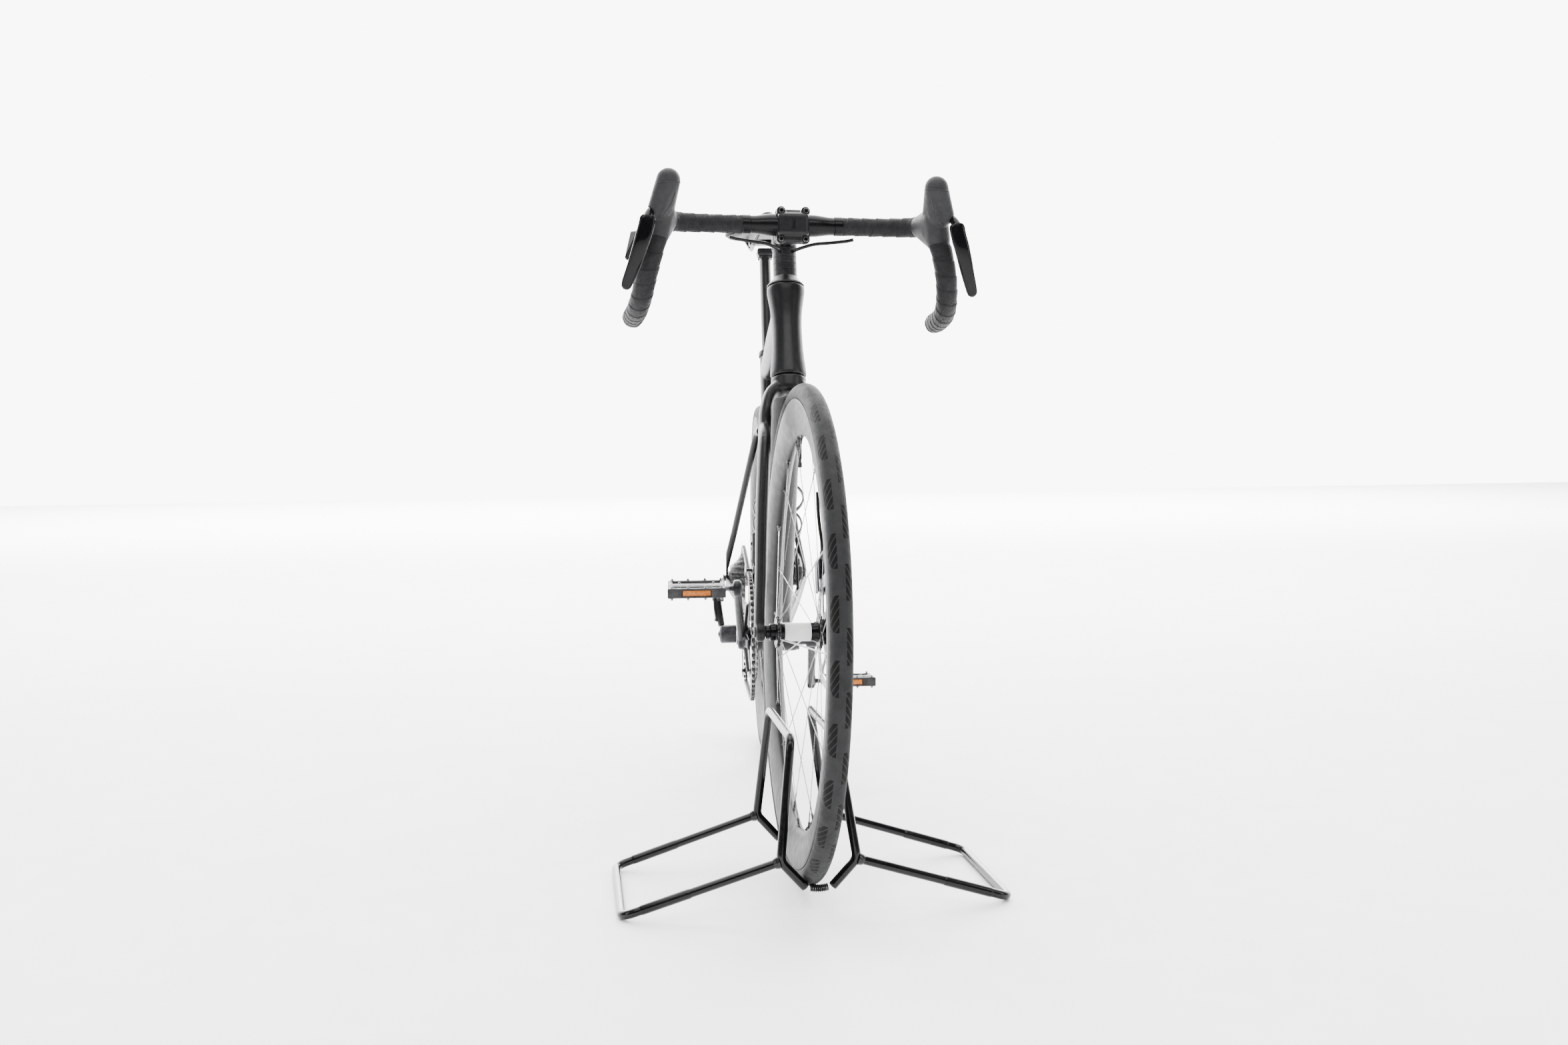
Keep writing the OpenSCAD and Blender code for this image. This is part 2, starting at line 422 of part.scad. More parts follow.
// platform pedal centred on its axle, at the given side
module pedal(s) difference() {
  union() {
    difference() { cube([94, 94, 16], center = true); cube([76, 78, 30], center = true); }
    cube([34, 90, 17], center = true);
    for (y = [-28, 28]) translate([0, y, 0]) cube([90, 6, 13], center = true);
    for (x = [-43, 43]) for (y = [-40, -14, 14, 40]) translate([x, y, 0]) cylinder(r = 1.8, h = 23, center = true);
  }
  translate([0, -s * 3, 0]) rotate([90, 0, 0]) cylinder(r = 4.34, h = 100, center = true);
  for (x = [-46, 46]) translate([x, 0, 0]) cube([6, 46, 9.4], center = true);
}
module pedr() B() translate(pr + [0, -136.5, 0]) rotate([0, 4, 0]) children();
module pedl() B() translate(pl + [0, 136.5, 0]) rotate([0, -3, 0]) children();
module pedal_right() pedr() color("#303236") pedal(-1);
module pedal_left() pedl() color("#303236") pedal(1);
module refl() for (x = [-1, 1]) translate([x * 44.6, 0, 0]) cube([2.8, 45.6, 9], center = true);
module pedal_reflectors_right() pedr() color("#c8641a") refl();
module pedal_reflectors_left() pedl() color("#c8641a") refl();

// chain: two side bands on the real route, tangent to each sprocket, with rollers in the free spans
cA = [bb[0], bb[2]]; cB = [0, R]; cU = [up_c[0], up_c[2]]; cL = [lo_c[0], lo_c[2]];
rA = prad(52); rB = prad(cog[chain_cog]); rU = 22.5; rL = 22.5;
// outer tangent on the given side
function tanang(p, q, r1, r2, s) = let (d = q - p, D = norm(d), b = atan2(d[1], d[0]), g = acos((r1 - r2) / D)) b + s * g;
function crossang(p, q, r1, r2, s) = let (d = q - p, D = norm(d), b = atan2(d[1], d[0]), g = acos((r1 + r2) / D)) b + s * g;
function pol(c, r, a) = [c[0] + r * cos(a), c[1] + r * sin(a)];
tAB = tanang(cA, cB, rA, rB, -1);
aU = crossang(cB, cU, rB, rU, -1);
aL = crossang(cU, cL, rU, rL, 1);
tLA = tanang(cL, cA, rL, rA, -1);
function arc(c, r, a0, a1, n) = [for (i = [0:n]) pol(c, r, a0 + (a1 - a0) * i / n)];
function up(a, b) = a < b ? up(a + 360, b) : a;
function dn(a, b) = a > b ? dn(a - 360, b) : a;
chp = concat(arc(cA, rA, dn(tLA, tAB) , tAB, 26), arc(cB, rB, tAB, up(aU, tAB), 16), arc(cU, rU, up(aU + 180, 0), dn(aL, up(aU + 180, 0)), 8), arc(cL, rL, aL + 180, up(tLA, aL + 180), 10));
function chy(x) = x > bb[0] - 60 ? ring_y : x < 60 ? cog_y[chain_cog] : cog_y[chain_cog] + (ring_y - cog_y[chain_cog]) * (x - 60) / (bb[0] - 120);
module band(off) { n = len(chp);
  nr = [for (i = [0:n - 1]) let (t = unit(chp[(i + 1) % n] - chp[(i + n - 1) % n])) [-t[1], t[0]]];
  pts = [for (i = [0:n - 1]) for (k = [[-1, -3.6], [1, -3.6], [1, 3.6], [-1, 3.6]]) [chp[i][0] + nr[i][0] * k[1], chy(chp[i][0]) + off + k[0] * 0.7, chp[i][1] + nr[i][1] * k[1]]];
  faces = [for (i = [0:n - 1]) for (j = [0:3]) for (h = [0, 1]) let (a = i * 4 + j, b = ((i + 1) % n) * 4 + j, c = ((i + 1) % n) * 4 + (j + 1) % 4, d = i * 4 + (j + 1) % 4) h ? [a, b, c] : [a, c, d]];
  polyhedron(points = pts, faces = faces, convexity = 8);
}
module rollers(a, b, n) for (i = [3:n - 3]) { p = a + (b - a) * i / n; ycyl([p[0], chy(p[0]), p[1]], 3.6, 4.3); }
module chain() B() color("#6d6f73") { band(2.8); band(-2.8);
  rollers(pol(cA, rA, tAB), pol(cB, rB, tAB), 30);
  rollers(pol(cL, rL, tLA), pol(cA, rA, tLA), 28); }
module derailleur_cage() B() color("#232427") {
  for (k = [-1, 1]) difference() {
    union() { blade([up_c[0], up_c[1] + k * 6.2 - 0.8, up_c[2]] , [lo_c[0], up_c[1] + k * 6.2 - 0.8, lo_c[2]], 1, 1); 
      translate([0, up_c[1] + k * 6.2, 0]) rotate([90, 0, 0]) linear_extrude(height = 1.6, center = true) { translate(cU) circle(r = 12); translate(cL) circle(r = 14); d = cL - cU; translate(cU) rotate(atan2(d[1], d[0])) translate([0, -9]) square([norm(d), 18]); } }
  }
  for (c = [cU, cL]) ycyl([c[0], up_c[1], c[1]], 3, 14);
  ycyl([up_c[0], up_c[1] - 10.7, up_c[2]], 8, 7.8);
}
module jockey(c) B() color("#1a1b1d") difference() { translate([c[0], c[1] + 1.1, c[2]]) rotate([90, 0, 0]) linear_extrude(height = 2.2) polygon(gearpts(11, 20.2, 18)); ycyl(c, 3.05, 20); }
module jockey_upper() jockey(up_c);
module jockey_lower() jockey(lo_c);

// ---------------- stand ----------------
module half(s) {
  ty = s > 0 ? 27.5 : 32;
  bent([[130, s * 18, 34.4], [133, s * 50, 70], [112, s * ty, 226.2], [-112, s * ty, 226.2], [-133, s * 50, 70], [-130, s * 18, 34.4]], stand_r, 16);
  bent([[132.6, s * 51.5, 69.4], [foot_x, s * foot_half, 6], [-foot_x, s * foot_half, 6], [-132.6, s * 51.5, 69.4]], stand_r, 16);
  for (k = [-1, 1]) { rod([k * (foot_x + 3.25), s * 168, 33.1], [k * (foot_x + 0.85), s * 230, 13.8], stand_r + 0.6); }
}
module stand_left() S() color("#0c0c0d") half(1);
module stand_right() S() color("#0c0c0d") half(-1);
module coil(x) { n = 80; t = 8;
  c = [for (i = [0:n]) let (a = 360 * t * i / n, y = -11.5 + 23 * i / n) [x + 4.2 * sin(a), y, 32.1 + 4.2 * cos(a) + y * y * 0.01]];
  sweep(c, 0.75, 8, [0, 1, 0.1]); }
module stand_springs() S() color("#111") for (k = [-1, 1]) coil(k * 130);

frame_tubes();
frame_stays();
bottom_bracket();
head_bearings();
seat_clamp();
rear_axle_unit();
rear_caliper();
bottle_cage();
front_derailleur();
rear_derailleur();
rear_hose();
seatpost();
saddle_rails();
saddle_shell();
saddle_cover();
fork();
spacers();
stem();
stem_faceplate();
stem_bolts();
handlebar();
bar_tape_left();
bar_tape_right();
bar_plugs();
hood_left();
hood_right();
front_axle_unit();
front_caliper();
front_hoses();
brake_lever_left();
brake_lever_right();
shift_paddle_left();
shift_paddle_right();
front_tyre();
front_rim();
front_spokes();
front_hub();
front_rotor();
rear_tyre();
rear_rim();
rear_spokes();
rear_hub();
rear_rotor();
cassette();
crank_right();
crank_left();
chainrings();
pedal_right();
pedal_left();
pedal_reflectors_right();
pedal_reflectors_left();
chain();
derailleur_cage();
jockey_upper();
jockey_lower();
stand_left();
stand_right();
stand_springs();
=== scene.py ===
import bpy, bmesh, math
import numpy as np
from mathutils import Vector, Matrix


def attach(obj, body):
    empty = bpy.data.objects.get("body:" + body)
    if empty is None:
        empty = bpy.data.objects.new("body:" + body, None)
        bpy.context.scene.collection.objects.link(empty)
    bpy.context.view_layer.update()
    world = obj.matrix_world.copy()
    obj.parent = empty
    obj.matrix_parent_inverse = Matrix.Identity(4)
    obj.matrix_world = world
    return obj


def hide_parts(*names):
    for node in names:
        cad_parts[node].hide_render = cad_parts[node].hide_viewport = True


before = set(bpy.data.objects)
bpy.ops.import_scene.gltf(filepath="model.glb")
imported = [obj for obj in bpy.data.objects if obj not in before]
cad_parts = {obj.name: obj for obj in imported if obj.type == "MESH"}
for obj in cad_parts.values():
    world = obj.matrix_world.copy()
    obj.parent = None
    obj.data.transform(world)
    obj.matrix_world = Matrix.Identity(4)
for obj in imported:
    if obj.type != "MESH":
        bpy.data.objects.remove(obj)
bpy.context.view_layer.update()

# ---------------------------------------------------------------- shared layout (mm, level straight bicycle)
OX, OY, R, WBASE, LIFT = -494.97, -3.42, 339.0, 991.0, 11.9
PHI = math.asin(LIFT / WBASE)
HA = math.radians(73.5)
HAX = np.array([-math.cos(HA), 0, math.sin(HA)])
HP = np.array([944.1, 0, 339.0])
DEL = math.radians(4.37)
BBP = np.array([403.4, 0, 266.0])
CR = math.radians(34.4)
CL = 172.5
SAX = np.array([-math.sin(math.radians(16.5)), 0, math.cos(math.radians(16.5))])
FA = np.array([WBASE, 0, R]); RA = np.array([0, 0, R])
HT_TOP = np.array([944.1 - (826 - 339) * math.cos(HA) / math.sin(HA), 0, 826.0])
HT_BOT = HT_TOP - HAX * 140
BARC = np.array([866.0, 0, 908.0])

def A(p): return np.atleast_2d(np.array(p, float))
def rotv(v, k, a):
    v = A(v); k = np.array(k, float) / np.linalg.norm(k)
    return v * math.cos(a) + np.cross(np.broadcast_to(k, v.shape), v) * math.sin(a) + np.outer(v @ k, k) * (1 - math.cos(a))
def toB(p):
    p = A(p) - RA
    x = p[:, 0] * math.cos(PHI) - p[:, 2] * math.sin(PHI); z = p[:, 0] * math.sin(PHI) + p[:, 2] * math.cos(PHI)
    return np.stack([x + OX, p[:, 1] + OY, z + R], 1) / 1000
def toF(p): return toB(HP + rotv(A(p) - HP, HAX, DEL))
_fc = (HP + rotv(FA - HP, HAX, DEL))[0] - RA
_C = np.array([OX + _fc[0] * math.cos(PHI) - _fc[2] * math.sin(PHI), OY + _fc[1], 0])
SD = DEL * math.sin(HA)
def toS(p):
    p = A(p); c, s = math.cos(SD), math.sin(SD)
    return np.stack([_C[0] + p[:, 0] * c - p[:, 1] * s, _C[1] + p[:, 0] * s + p[:, 1] * c, p[:, 2]], 1) / 1000
def toFW(p): return toF(A(p) + FA)
def toRW(p): return toB(A(p) + RA)
def toC(p): return toB(rotv(A(p), [0, 1, 0], -CR) + BBP)
PRR = BBP + CL * np.array([math.cos(CR), 0, math.sin(CR)]) + np.array([0, -136.5, 0])
PRL = BBP - CL * np.array([math.cos(CR), 0, math.sin(CR)]) + np.array([0, 136.5, 0])
def toPR(p): return toB(rotv(A(p), [0, 1, 0], math.radians(4)) + PRR)
def toPL(p): return toB(rotv(A(p), [0, 1, 0], math.radians(-3)) + PRL)

# ---------------------------------------------------------------- mesh tools
class M:
    """Vertices and faces gathered in layout coordinates."""
    def __init__(self): self.v = []; self.f = []; self.n = 0; self.uv = []; self.mi = []
    def add(self, v, f, uv=None, mi=0):
        v = A(v); self.v.append(v)
        self.f += [tuple(i + self.n for i in q) for q in f]
        self.mi += [mi] * len(f)
        self.n += len(v); return self
    def verts(self): return np.concatenate(self.v)
def unit(v): v = np.array(v, float); return v / np.linalg.norm(v)
def crv(p, m=8):
    p = A(p); n = len(p); out = []
    for i in range(n - 1):
        a, b, c, d = p[max(i - 1, 0)], p[i], p[i + 1], p[min(i + 2, n - 1)]
        for j in range(m):
            t = j / m
            out.append(0.5 * (2 * b + (c - a) * t + (2 * a - 5 * b + 4 * c - d) * t * t + (3 * b - a - 3 * c + d) * t ** 3))
    out.append(p[-1]); return np.array(out)
def loft(secs, closed=False, cap=True):
    n = len(secs[0]); m = len(secs); v = np.concatenate(secs); f = []
    for i in range(m if closed else m - 1):
        for j in range(n):
            a, b = i * n + j, i * n + (j + 1) % n
            c, d = ((i + 1) % m) * n + (j + 1) % n, ((i + 1) % m) * n + j
            f.append((a, b, c, d))
    if cap and not closed:
        f.append(tuple(range(n - 1, -1, -1))); f.append(tuple((m - 1) * n + j for j in range(n)))
    return v, f
def frames(path, side):
    path = A(path); t = np.gradient(path, axis=0); t /= np.linalg.norm(t, axis=1)[:, None]
    side = A(side); side = np.broadcast_to(side, path.shape) if len(side) == 1 else side
    b = side - t * np.sum(side * t, 1)[:, None]; b = b / np.linalg.norm(b, axis=1)[:, None]
    return t, b, np.cross(t, b)
def interp(keys, n):
    """keys: list of values at even steps, or (t, value) pairs"""
    k = np.array(keys, float)
    if k.ndim == 1: return np.interp(np.linspace(0, 1, n), np.linspace(0, 1, len(k)), k)
    return np.interp(np.linspace(0, 1, n), k[:, 0], k[:, 1])
def tube(path, rx, ry=None, n=20, side=(0, 1, 0), e=2.0, round_ends=0, cap=True):
    path = A(path); m = len(path)
    rx = np.full(m, rx, float) if np.isscalar(rx) else interp(rx, m)
    ry = rx if ry is None else (np.full(m, ry, float) if np.isscalar(ry) else interp(ry, m))
    t, b, c = frames(path, side)
    th = np.linspace(0, 2 * np.pi, n, endpoint=False)
    ct, st = np.cos(th), np.sin(th)
    cx = np.sign(ct) * np.abs(ct) ** (2 / e); sx = np.sign(st) * np.abs(st) ** (2 / e)
    secs = [path[i] + np.outer(cx, b[i]) * rx[i] + np.outer(sx, c[i]) * ry[i] for i in range(m)]
    if round_ends:
        k = 5; head = []; tail = []
        for j in range(k, 0, -1):
            a = j / k * np.pi / 2 * 0.97
            s, h = math.cos(a), math.sin(a)
            o = path[0] - t[0] * round_ends * h
            head.append(o + (np.outer(cx, b[0]) * rx[0] + np.outer(sx, c[0]) * ry[0]) * s)
        for j in range(1, k + 1):
            a = j / k * np.pi / 2 * 0.97
            s, h = math.cos(a), math.sin(a)
            o = path[-1] + t[-1] * round_ends * h
            tail.append(o + (np.outer(cx, b[-1]) * rx[-1] + np.outer(sx, c[-1]) * ry[-1]) * s)
        secs = head + secs + tail
    return loft(secs, cap=cap)
def rod(a, b, r, n=20, r2=None, bev=0.5):
    a, b = np.array(a, float), np.array(b, float); d = unit(b - a); L = np.linalg.norm(b - a)
    side = [1, 0, 0] if abs(d[0]) < 0.8 else [0, 1, 0]
    r2 = r if r2 is None else r2; bev = min(bev, L * 0.3, r * 0.5)
    p = np.array([a, a + d * bev, b - d * bev, b])
    return tube(p, [(0, r - bev), (1 / 3, r), (2 / 3, r2), (1, r2 - bev)], n=n, side=side)
def lathe(prof, n=96, axis="y", closed=False, off=(0, 0, 0)):
    """prof: list of (radius, along-axis); revolved round Y"""
    prof = np.array(prof, float); secs = []
    for i in range(n):
        a = 2 * np.pi * i / n
        secs.append(np.stack([prof[:, 0] * math.cos(a), prof[:, 1], prof[:, 0] * math.sin(a)], 1) + np.array(off))
    v = np.concatenate(secs); k = len(prof); f = []
    for i in range(n):
        for j in range(k if closed else k - 1):
            a, b = i * k + j, i * k + (j + 1) % k
            c, d = ((i + 1) % n) * k + (j + 1) % k, ((i + 1) % n) * k + j
            f.append((a, d, c, b))
    return v, f
def ydisc(c, r, h, n=32, bev=0.6, hole=0.0):
    bev = min(bev, h * 0.4)
    pr = [(hole, -h / 2), (r - bev, -h / 2), (r, -h / 2 + bev), (r, h / 2 - bev), (r - bev, h / 2), (hole, h / 2)]
    if hole > 0: return lathe(pr, n, closed=True, off=c)
    pr[0] = (0.01, -h / 2); pr[-1] = (0.01, h / 2)
    return lathe(pr, n, off=c)
def rbox(c, s, b=2.0, rot=None, k=3):
    """rounded box: centre, size, corner radius"""
    bm = bmesh.new(); bmesh.ops.create_cube(bm, size=1.0)
    for v in bm.verts: v.co = Vector((v.co.x * s[0], v.co.y * s[1], v.co.z * s[2]))
    bmesh.ops.bevel(bm, geom=bm.edges[:] + bm.verts[:], offset=min(b, min(s) * 0.48), segments=k, profile=0.5, affect='EDGES')
    v = np.array([x.co[:] for x in bm.verts]); f = [tuple(q.index for q in x.verts) for x in bm.faces]; bm.free()
    if rot is not None:
        for ax, ang in rot: v = rotv(v, ax, math.radians(ang))
    return v + np.array(c, float), f
def poly_prism(pts, y0, y1):
    pts = np.array(pts, float); n = len(pts)
    v = np.concatenate([np.stack([pts[:, 0], np.full(n, y0), pts[:, 1]], 1), np.stack([pts[:, 0], np.full(n, y1), pts[:, 1]], 1)])
    f = [tuple(range(n)), tuple(range(2 * n - 1, n - 1, -1))] + [(i, n + i, n + (i + 1) % n, (i + 1) % n) for i in range(n)]
    return v, f

MATS = {}
def make(name, m, tf, body, mats, replaces=(), smooth=40, subsurf=0, bevel=0, uv=None, soften=None):
    me = bpy.data.meshes.new(name); v = tf(m.verts())
    me.from_pydata([tuple(x) for x in v], [], m.f); me.update()
    if not isinstance(mats, (list, tuple)): mats = [mats]
    for x in mats: me.materials.append(MATS[x])
    if len(mats) > 1: me.polygons.foreach_set("material_index", m.mi)
    bm = bmesh.new(); bm.from_mesh(me); bmesh.ops.recalc_face_normals(bm, faces=bm.faces); bm.to_mesh(me); bm.free()
    if uv is not None:
        layer = me.uv_layers.new(name="UVMap")
        idx = np.empty(len(me.loops), int); me.loops.foreach_get("vertex_index", idx)
        layer.data.foreach_set("uv", uv[idx].astype(np.float32).ravel())
    ob = bpy.data.objects.new(name, me); bpy.context.scene.collection.objects.link(ob)
    if soften:
        vox, it = soften
        r = ob.modifiers.new("r", "REMESH"); r.mode = "VOXEL"; r.voxel_size = vox
        s = ob.modifiers.new("s", "SMOOTH"); s.factor = 0.5; s.iterations = it
        dg = bpy.context.evaluated_depsgraph_get(); ev = ob.evaluated_get(dg)
        me2 = bpy.data.meshes.new_from_object(ev); ob.modifiers.clear(); ob.data = me2; me2.name = name
        me2.materials.clear()
        for x in mats: me2.materials.append(MATS[x])
        me = me2
    if bevel:
        b = ob.modifiers.new("bevel", "BEVEL"); b.width = bevel; b.segments = 2; b.limit_method = "ANGLE"; b.angle_limit = math.radians(35)
    if subsurf:
        s = ob.modifiers.new("sub", "SUBSURF"); s.levels = s.render_levels = subsurf
    me.polygons.foreach_set("use_smooth", [True] * len(me.polygons))
    if smooth and not soften:
        bm = bmesh.new(); bm.from_mesh(me)
        lim = math.radians(smooth)
        for e in bm.edges:
            if len(e.link_faces) == 2 and e.calc_face_angle(0) > lim: e.smooth = False
        bm.to_mesh(me); bm.free()
    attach(ob, body)
    if replaces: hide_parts(*replaces)
    return ob

# ---------------------------------------------------------------- materials
def nmat(name, c1, c2, rough=(0.4, 0.5), metal=0.0, nscale=40, bump=(400, 0.15, 0.0003), coat=0.0, coat_r=0.1, spec=0.4, stretch=None, wear=None, kind=None, kscale=200.0):
    mt = bpy.data.materials.new(name); mt.use_nodes = True; nt = mt.node_tree; N = nt.nodes; L = nt.links
    bs = N["Principled BSDF"]
    tc = N.new("ShaderNodeTexCoord"); mp = N.new("ShaderNodeMapping"); L.new(tc.outputs["Object"], mp.inputs["Vector"])
    if stretch: mp.inputs["Scale"].default_value = stretch
    no = N.new("ShaderNodeTexNoise"); no.inputs["Scale"].default_value = nscale; no.inputs["Detail"].default_value = 5
    L.new(mp.outputs["Vector"], no.inputs["Vector"])
    cr = N.new("ShaderNodeValToRGB"); cr.color_ramp.elements[0].position = 0.3; cr.color_ramp.elements[1].position = 0.72
    cr.color_ramp.elements[0].color = (*c1, 1); cr.color_ramp.elements[1].color = (*c2, 1)
    L.new(no.outputs["Fac"], cr.inputs["Fac"]); col = cr.outputs["Color"]
    mr = N.new("ShaderNodeMapRange"); mr.inputs["From Min"].default_value = 0.3; mr.inputs["From Max"].default_value = 0.7
    mr.inputs["To Min"].default_value = rough[0]; mr.inputs["To Max"].default_value = rough[1]
    n2 = N.new("ShaderNodeTexNoise"); n2.inputs["Scale"].default_value = nscale * 3.1; n2.inputs["Detail"].default_value = 4
    L.new(mp.outputs["Vector"], n2.inputs["Vector"]); L.new(n2.outputs["Fac"], mr.inputs["Value"]); L.new(mr.outputs["Result"], bs.inputs["Roughness"])
    if kind == "weave":
        w1 = N.new("ShaderNodeTexWave"); w1.inputs["Scale"].default_value = kscale; w1.bands_direction = "DIAGONAL"
        L.new(mp.outputs["Vector"], w1.inputs["Vector"]); h = w1.outputs["Fac"]
    elif kind == "dots":
        vo = N.new("ShaderNodeTexVoronoi"); vo.inputs["Scale"].default_value = kscale; vo.inputs["Randomness"].default_value = 0.15
        L.new(mp.outputs["Vector"], vo.inputs["Vector"]); h = vo.outputs["Distance"]
    elif kind == "grain":
        vo = N.new("ShaderNodeTexVoronoi"); vo.inputs["Scale"].default_value = kscale; vo.feature = "SMOOTH_F1"
        L.new(mp.outputs["Vector"], vo.inputs["Vector"]); h = vo.outputs["Distance"]
    else:
        nb = N.new("ShaderNodeTexNoise"); nb.inputs["Scale"].default_value = bump[0]; nb.inputs["Detail"].default_value = 6
        L.new(mp.outputs["Vector"], nb.inputs["Vector"]); h = nb.outputs["Fac"]
    bp = N.new("ShaderNodeBump"); bp.inputs["Strength"].default_value = bump[1]; bp.inputs["Distance"].default_value = bump[2]
    L.new(h, bp.inputs["Height"]); L.new(bp.outputs["Normal"], bs.inputs["Normal"])
    if wear:
        ge = N.new("ShaderNodeNewGeometry"); wr = N.new("ShaderNodeValToRGB")
        wr.color_ramp.elements[0].position = 0.52; wr.color_ramp.elements[1].position = 0.60
        mx = N.new("ShaderNodeMix"); mx.data_type = "RGBA"
        mu = N.new("ShaderNodeMath"); mu.operation = "MULTIPLY"; L.new(no.outputs["Fac"], mu.inputs[1])
        L.new(ge.outputs["Pointiness"], wr.inputs["Fac"]); L.new(wr.outputs["Color"], mu.inputs[0])
        L.new(mu.outputs[0], mx.inputs["Factor"]); L.new(col, mx.inputs["A"]); mx.inputs["B"].default_value = (*wear, 1); col = mx.outputs["Result"]
    L.new(col, bs.inputs["Base Color"])
    bs.inputs["Metallic"].default_value = metal; bs.inputs["Specular IOR Level"].default_value = spec * 0.5
    bs.inputs["Coat Weight"].default_value = coat * 0.4; bs.inputs["Coat Roughness"].default_value = coat_r
    MATS[name] = mt; return mt

nmat("frame_paint", (0.0035, 0.0035, 0.004), (0.006, 0.006, 0.0068), (0.34, 0.46), nscale=60, bump=(900, 0.06, 0.0002), coat=0.25, coat_r=0.28, wear=(0.03, 0.03, 0.033))
nmat("head_badge_tone", (0.030, 0.031, 0.034), (0.04, 0.041, 0.045), (0.2, 0.3), nscale=60, bump=(900, 0.05, 0.0001), coat=0.5, coat_r=0.1)
nmat("stem_paint", (0.005, 0.005, 0.0055), (0.009, 0.009, 0.0098), (0.32, 0.45), nscale=80, bump=(1200, 0.12, 0.0002), coat=0.1, coat_r=0.3, wear=(0.06, 0.06, 0.065))
nmat("black_alloy", (0.006, 0.006, 0.0068), (0.012, 0.012, 0.0133), (0.28, 0.42), metal=0.35, nscale=90, bump=(1500, 0.1, 0.0002), wear=(0.12, 0.12, 0.13))
nmat("gloss_bar", (0.0025, 0.0025, 0.003), (0.0045, 0.0045, 0.005), (0.2, 0.3), nscale=30, bump=(500, 0.03, 0.0001), coat=0.1, coat_r=0.1, spec=0.22)
nmat("lever_gloss", (0.0018, 0.0018, 0.0022), (0.0035, 0.0035, 0.004), (0.14, 0.22), nscale=40, bump=(600, 0.04, 0.0001), coat=0.25, coat_r=0.06, spec=0.25, wear=(0.03, 0.03, 0.03))
nmat("bar_tape", (0.006, 0.006, 0.0068), (0.012, 0.012, 0.0133), (0.55, 0.75), nscale=120, bump=(0, 0.55, 0.0006), kind="grain", kscale=900, spec=0.35)
nmat("hood_rubber", (0.015, 0.0153, 0.0165), (0.023, 0.0234, 0.025), (0.5, 0.64), nscale=70, bump=(0, 0.35, 0.0004), kind="dots", kscale=650, spec=0.4)
nmat("black_plastic", (0.006, 0.006, 0.0066), (0.011, 0.011, 0.012), (0.42, 0.58), nscale=70, bump=(900, 0.2, 0.0002), wear=(0.05, 0.05, 0.05))
nmat("hose", (0.003, 0.003, 0.0034), (0.006, 0.006, 0.0066), (0.3, 0.42), nscale=60, bump=(700, 0.1, 0.0002))
nmat("rim_carbon", (0.012, 0.0122, 0.0128), (0.020, 0.0204, 0.0214), (0.42, 0.54), metal=0.0, nscale=25, bump=(0, 0.08, 0.0002), kind="weave", kscale=260, spec=0.24, coat=0.15, coat_r=0.22, stretch=(1, 1, 1))
nmat("hub_black", (0.004, 0.004, 0.0045), (0.008, 0.008, 0.0086), (0.12, 0.22), metal=0.5, nscale=60, bump=(800, 0.06, 0.0001), wear=(0.1, 0.1, 0.1))
nmat("spoke_steel", (0.10, 0.10, 0.105), (0.22, 0.22, 0.225), (0.2, 0.32), metal=0.95, nscale=200, bump=(1500, 0.1, 0.0001))
nmat("nipple_black", (0.010, 0.010, 0.011), (0.02, 0.02, 0.021), (0.25, 0.35), metal=0.6, nscale=300, bump=(2000, 0.1, 0.0001), wear=(0.2, 0.2, 0.2))
nmat("rotor_steel", (0.42, 0.42, 0.43), (0.56, 0.56, 0.57), (0.22, 0.36), metal=1.0, nscale=300, bump=(2500, 0.2, 0.0001), stretch=(1, 1, 1))
nmat("rotor_dark", (0.02, 0.02, 0.022), (0.035, 0.035, 0.038), (0.3, 0.45), metal=0.5, nscale=100, bump=(900, 0.12, 0.0002), wear=(0.15, 0.15, 0.15))
nmat("cassette_steel", (0.05, 0.05, 0.052), (0.14, 0.14, 0.145), (0.25, 0.42), metal=0.9, nscale=120, bump=(1400, 0.2, 0.0002), wear=(0.4, 0.4, 0.4))
nmat("chain_steel", (0.16, 0.155, 0.15), (0.32, 0.315, 0.31), (0.26, 0.42), metal=0.95, nscale=250, bump=(2000, 0.2, 0.0001))
nmat("chain_dark", (0.03, 0.03, 0.03), (0.07, 0.068, 0.066), (0.3, 0.5), metal=0.9, nscale=250, bump=(2000, 0.2, 0.0001))
nmat("crank_alloy", (0.01, 0.0105, 0.0115), (0.018, 0.0185, 0.02), (0.28, 0.4), metal=0.4, nscale=50, bump=(1000, 0.1, 0.0002), coat=0.15, coat_r=0.25, wear=(0.16, 0.16, 0.17))
nmat("ring_alloy", (0.012, 0.012, 0.013), (0.03, 0.03, 0.032), (0.28, 0.42), metal=0.8, nscale=100, bump=(1000, 0.12, 0.0002), wear=(0.5, 0.5, 0.5))
nmat("pedal_plastic", (0.01, 0.01, 0.011), (0.022, 0.022, 0.024), (0.4, 0.56), nscale=80, bump=(700, 0.3, 0.0004), wear=(0.12, 0.12, 0.12))
nmat("pin_steel", (0.02, 0.02, 0.021), (0.05, 0.05, 0.052), (0.3, 0.45), metal=0.8, nscale=200, bump=(1500, 0.2, 0.0002), wear=(0.4, 0.4, 0.4))
nmat("rail_steel", (0.006, 0.006, 0.0066), (0.012, 0.012, 0.013), (0.3, 0.42), metal=0.5, nscale=150, bump=(1500, 0.12, 0.0001))
nmat("saddle_cover", (0.004, 0.004, 0.0045), (0.008, 0.008, 0.0086), (0.5, 0.64), nscale=60, bump=(0, 0.4, 0.0005), kind="grain", kscale=700, spec=0.2)
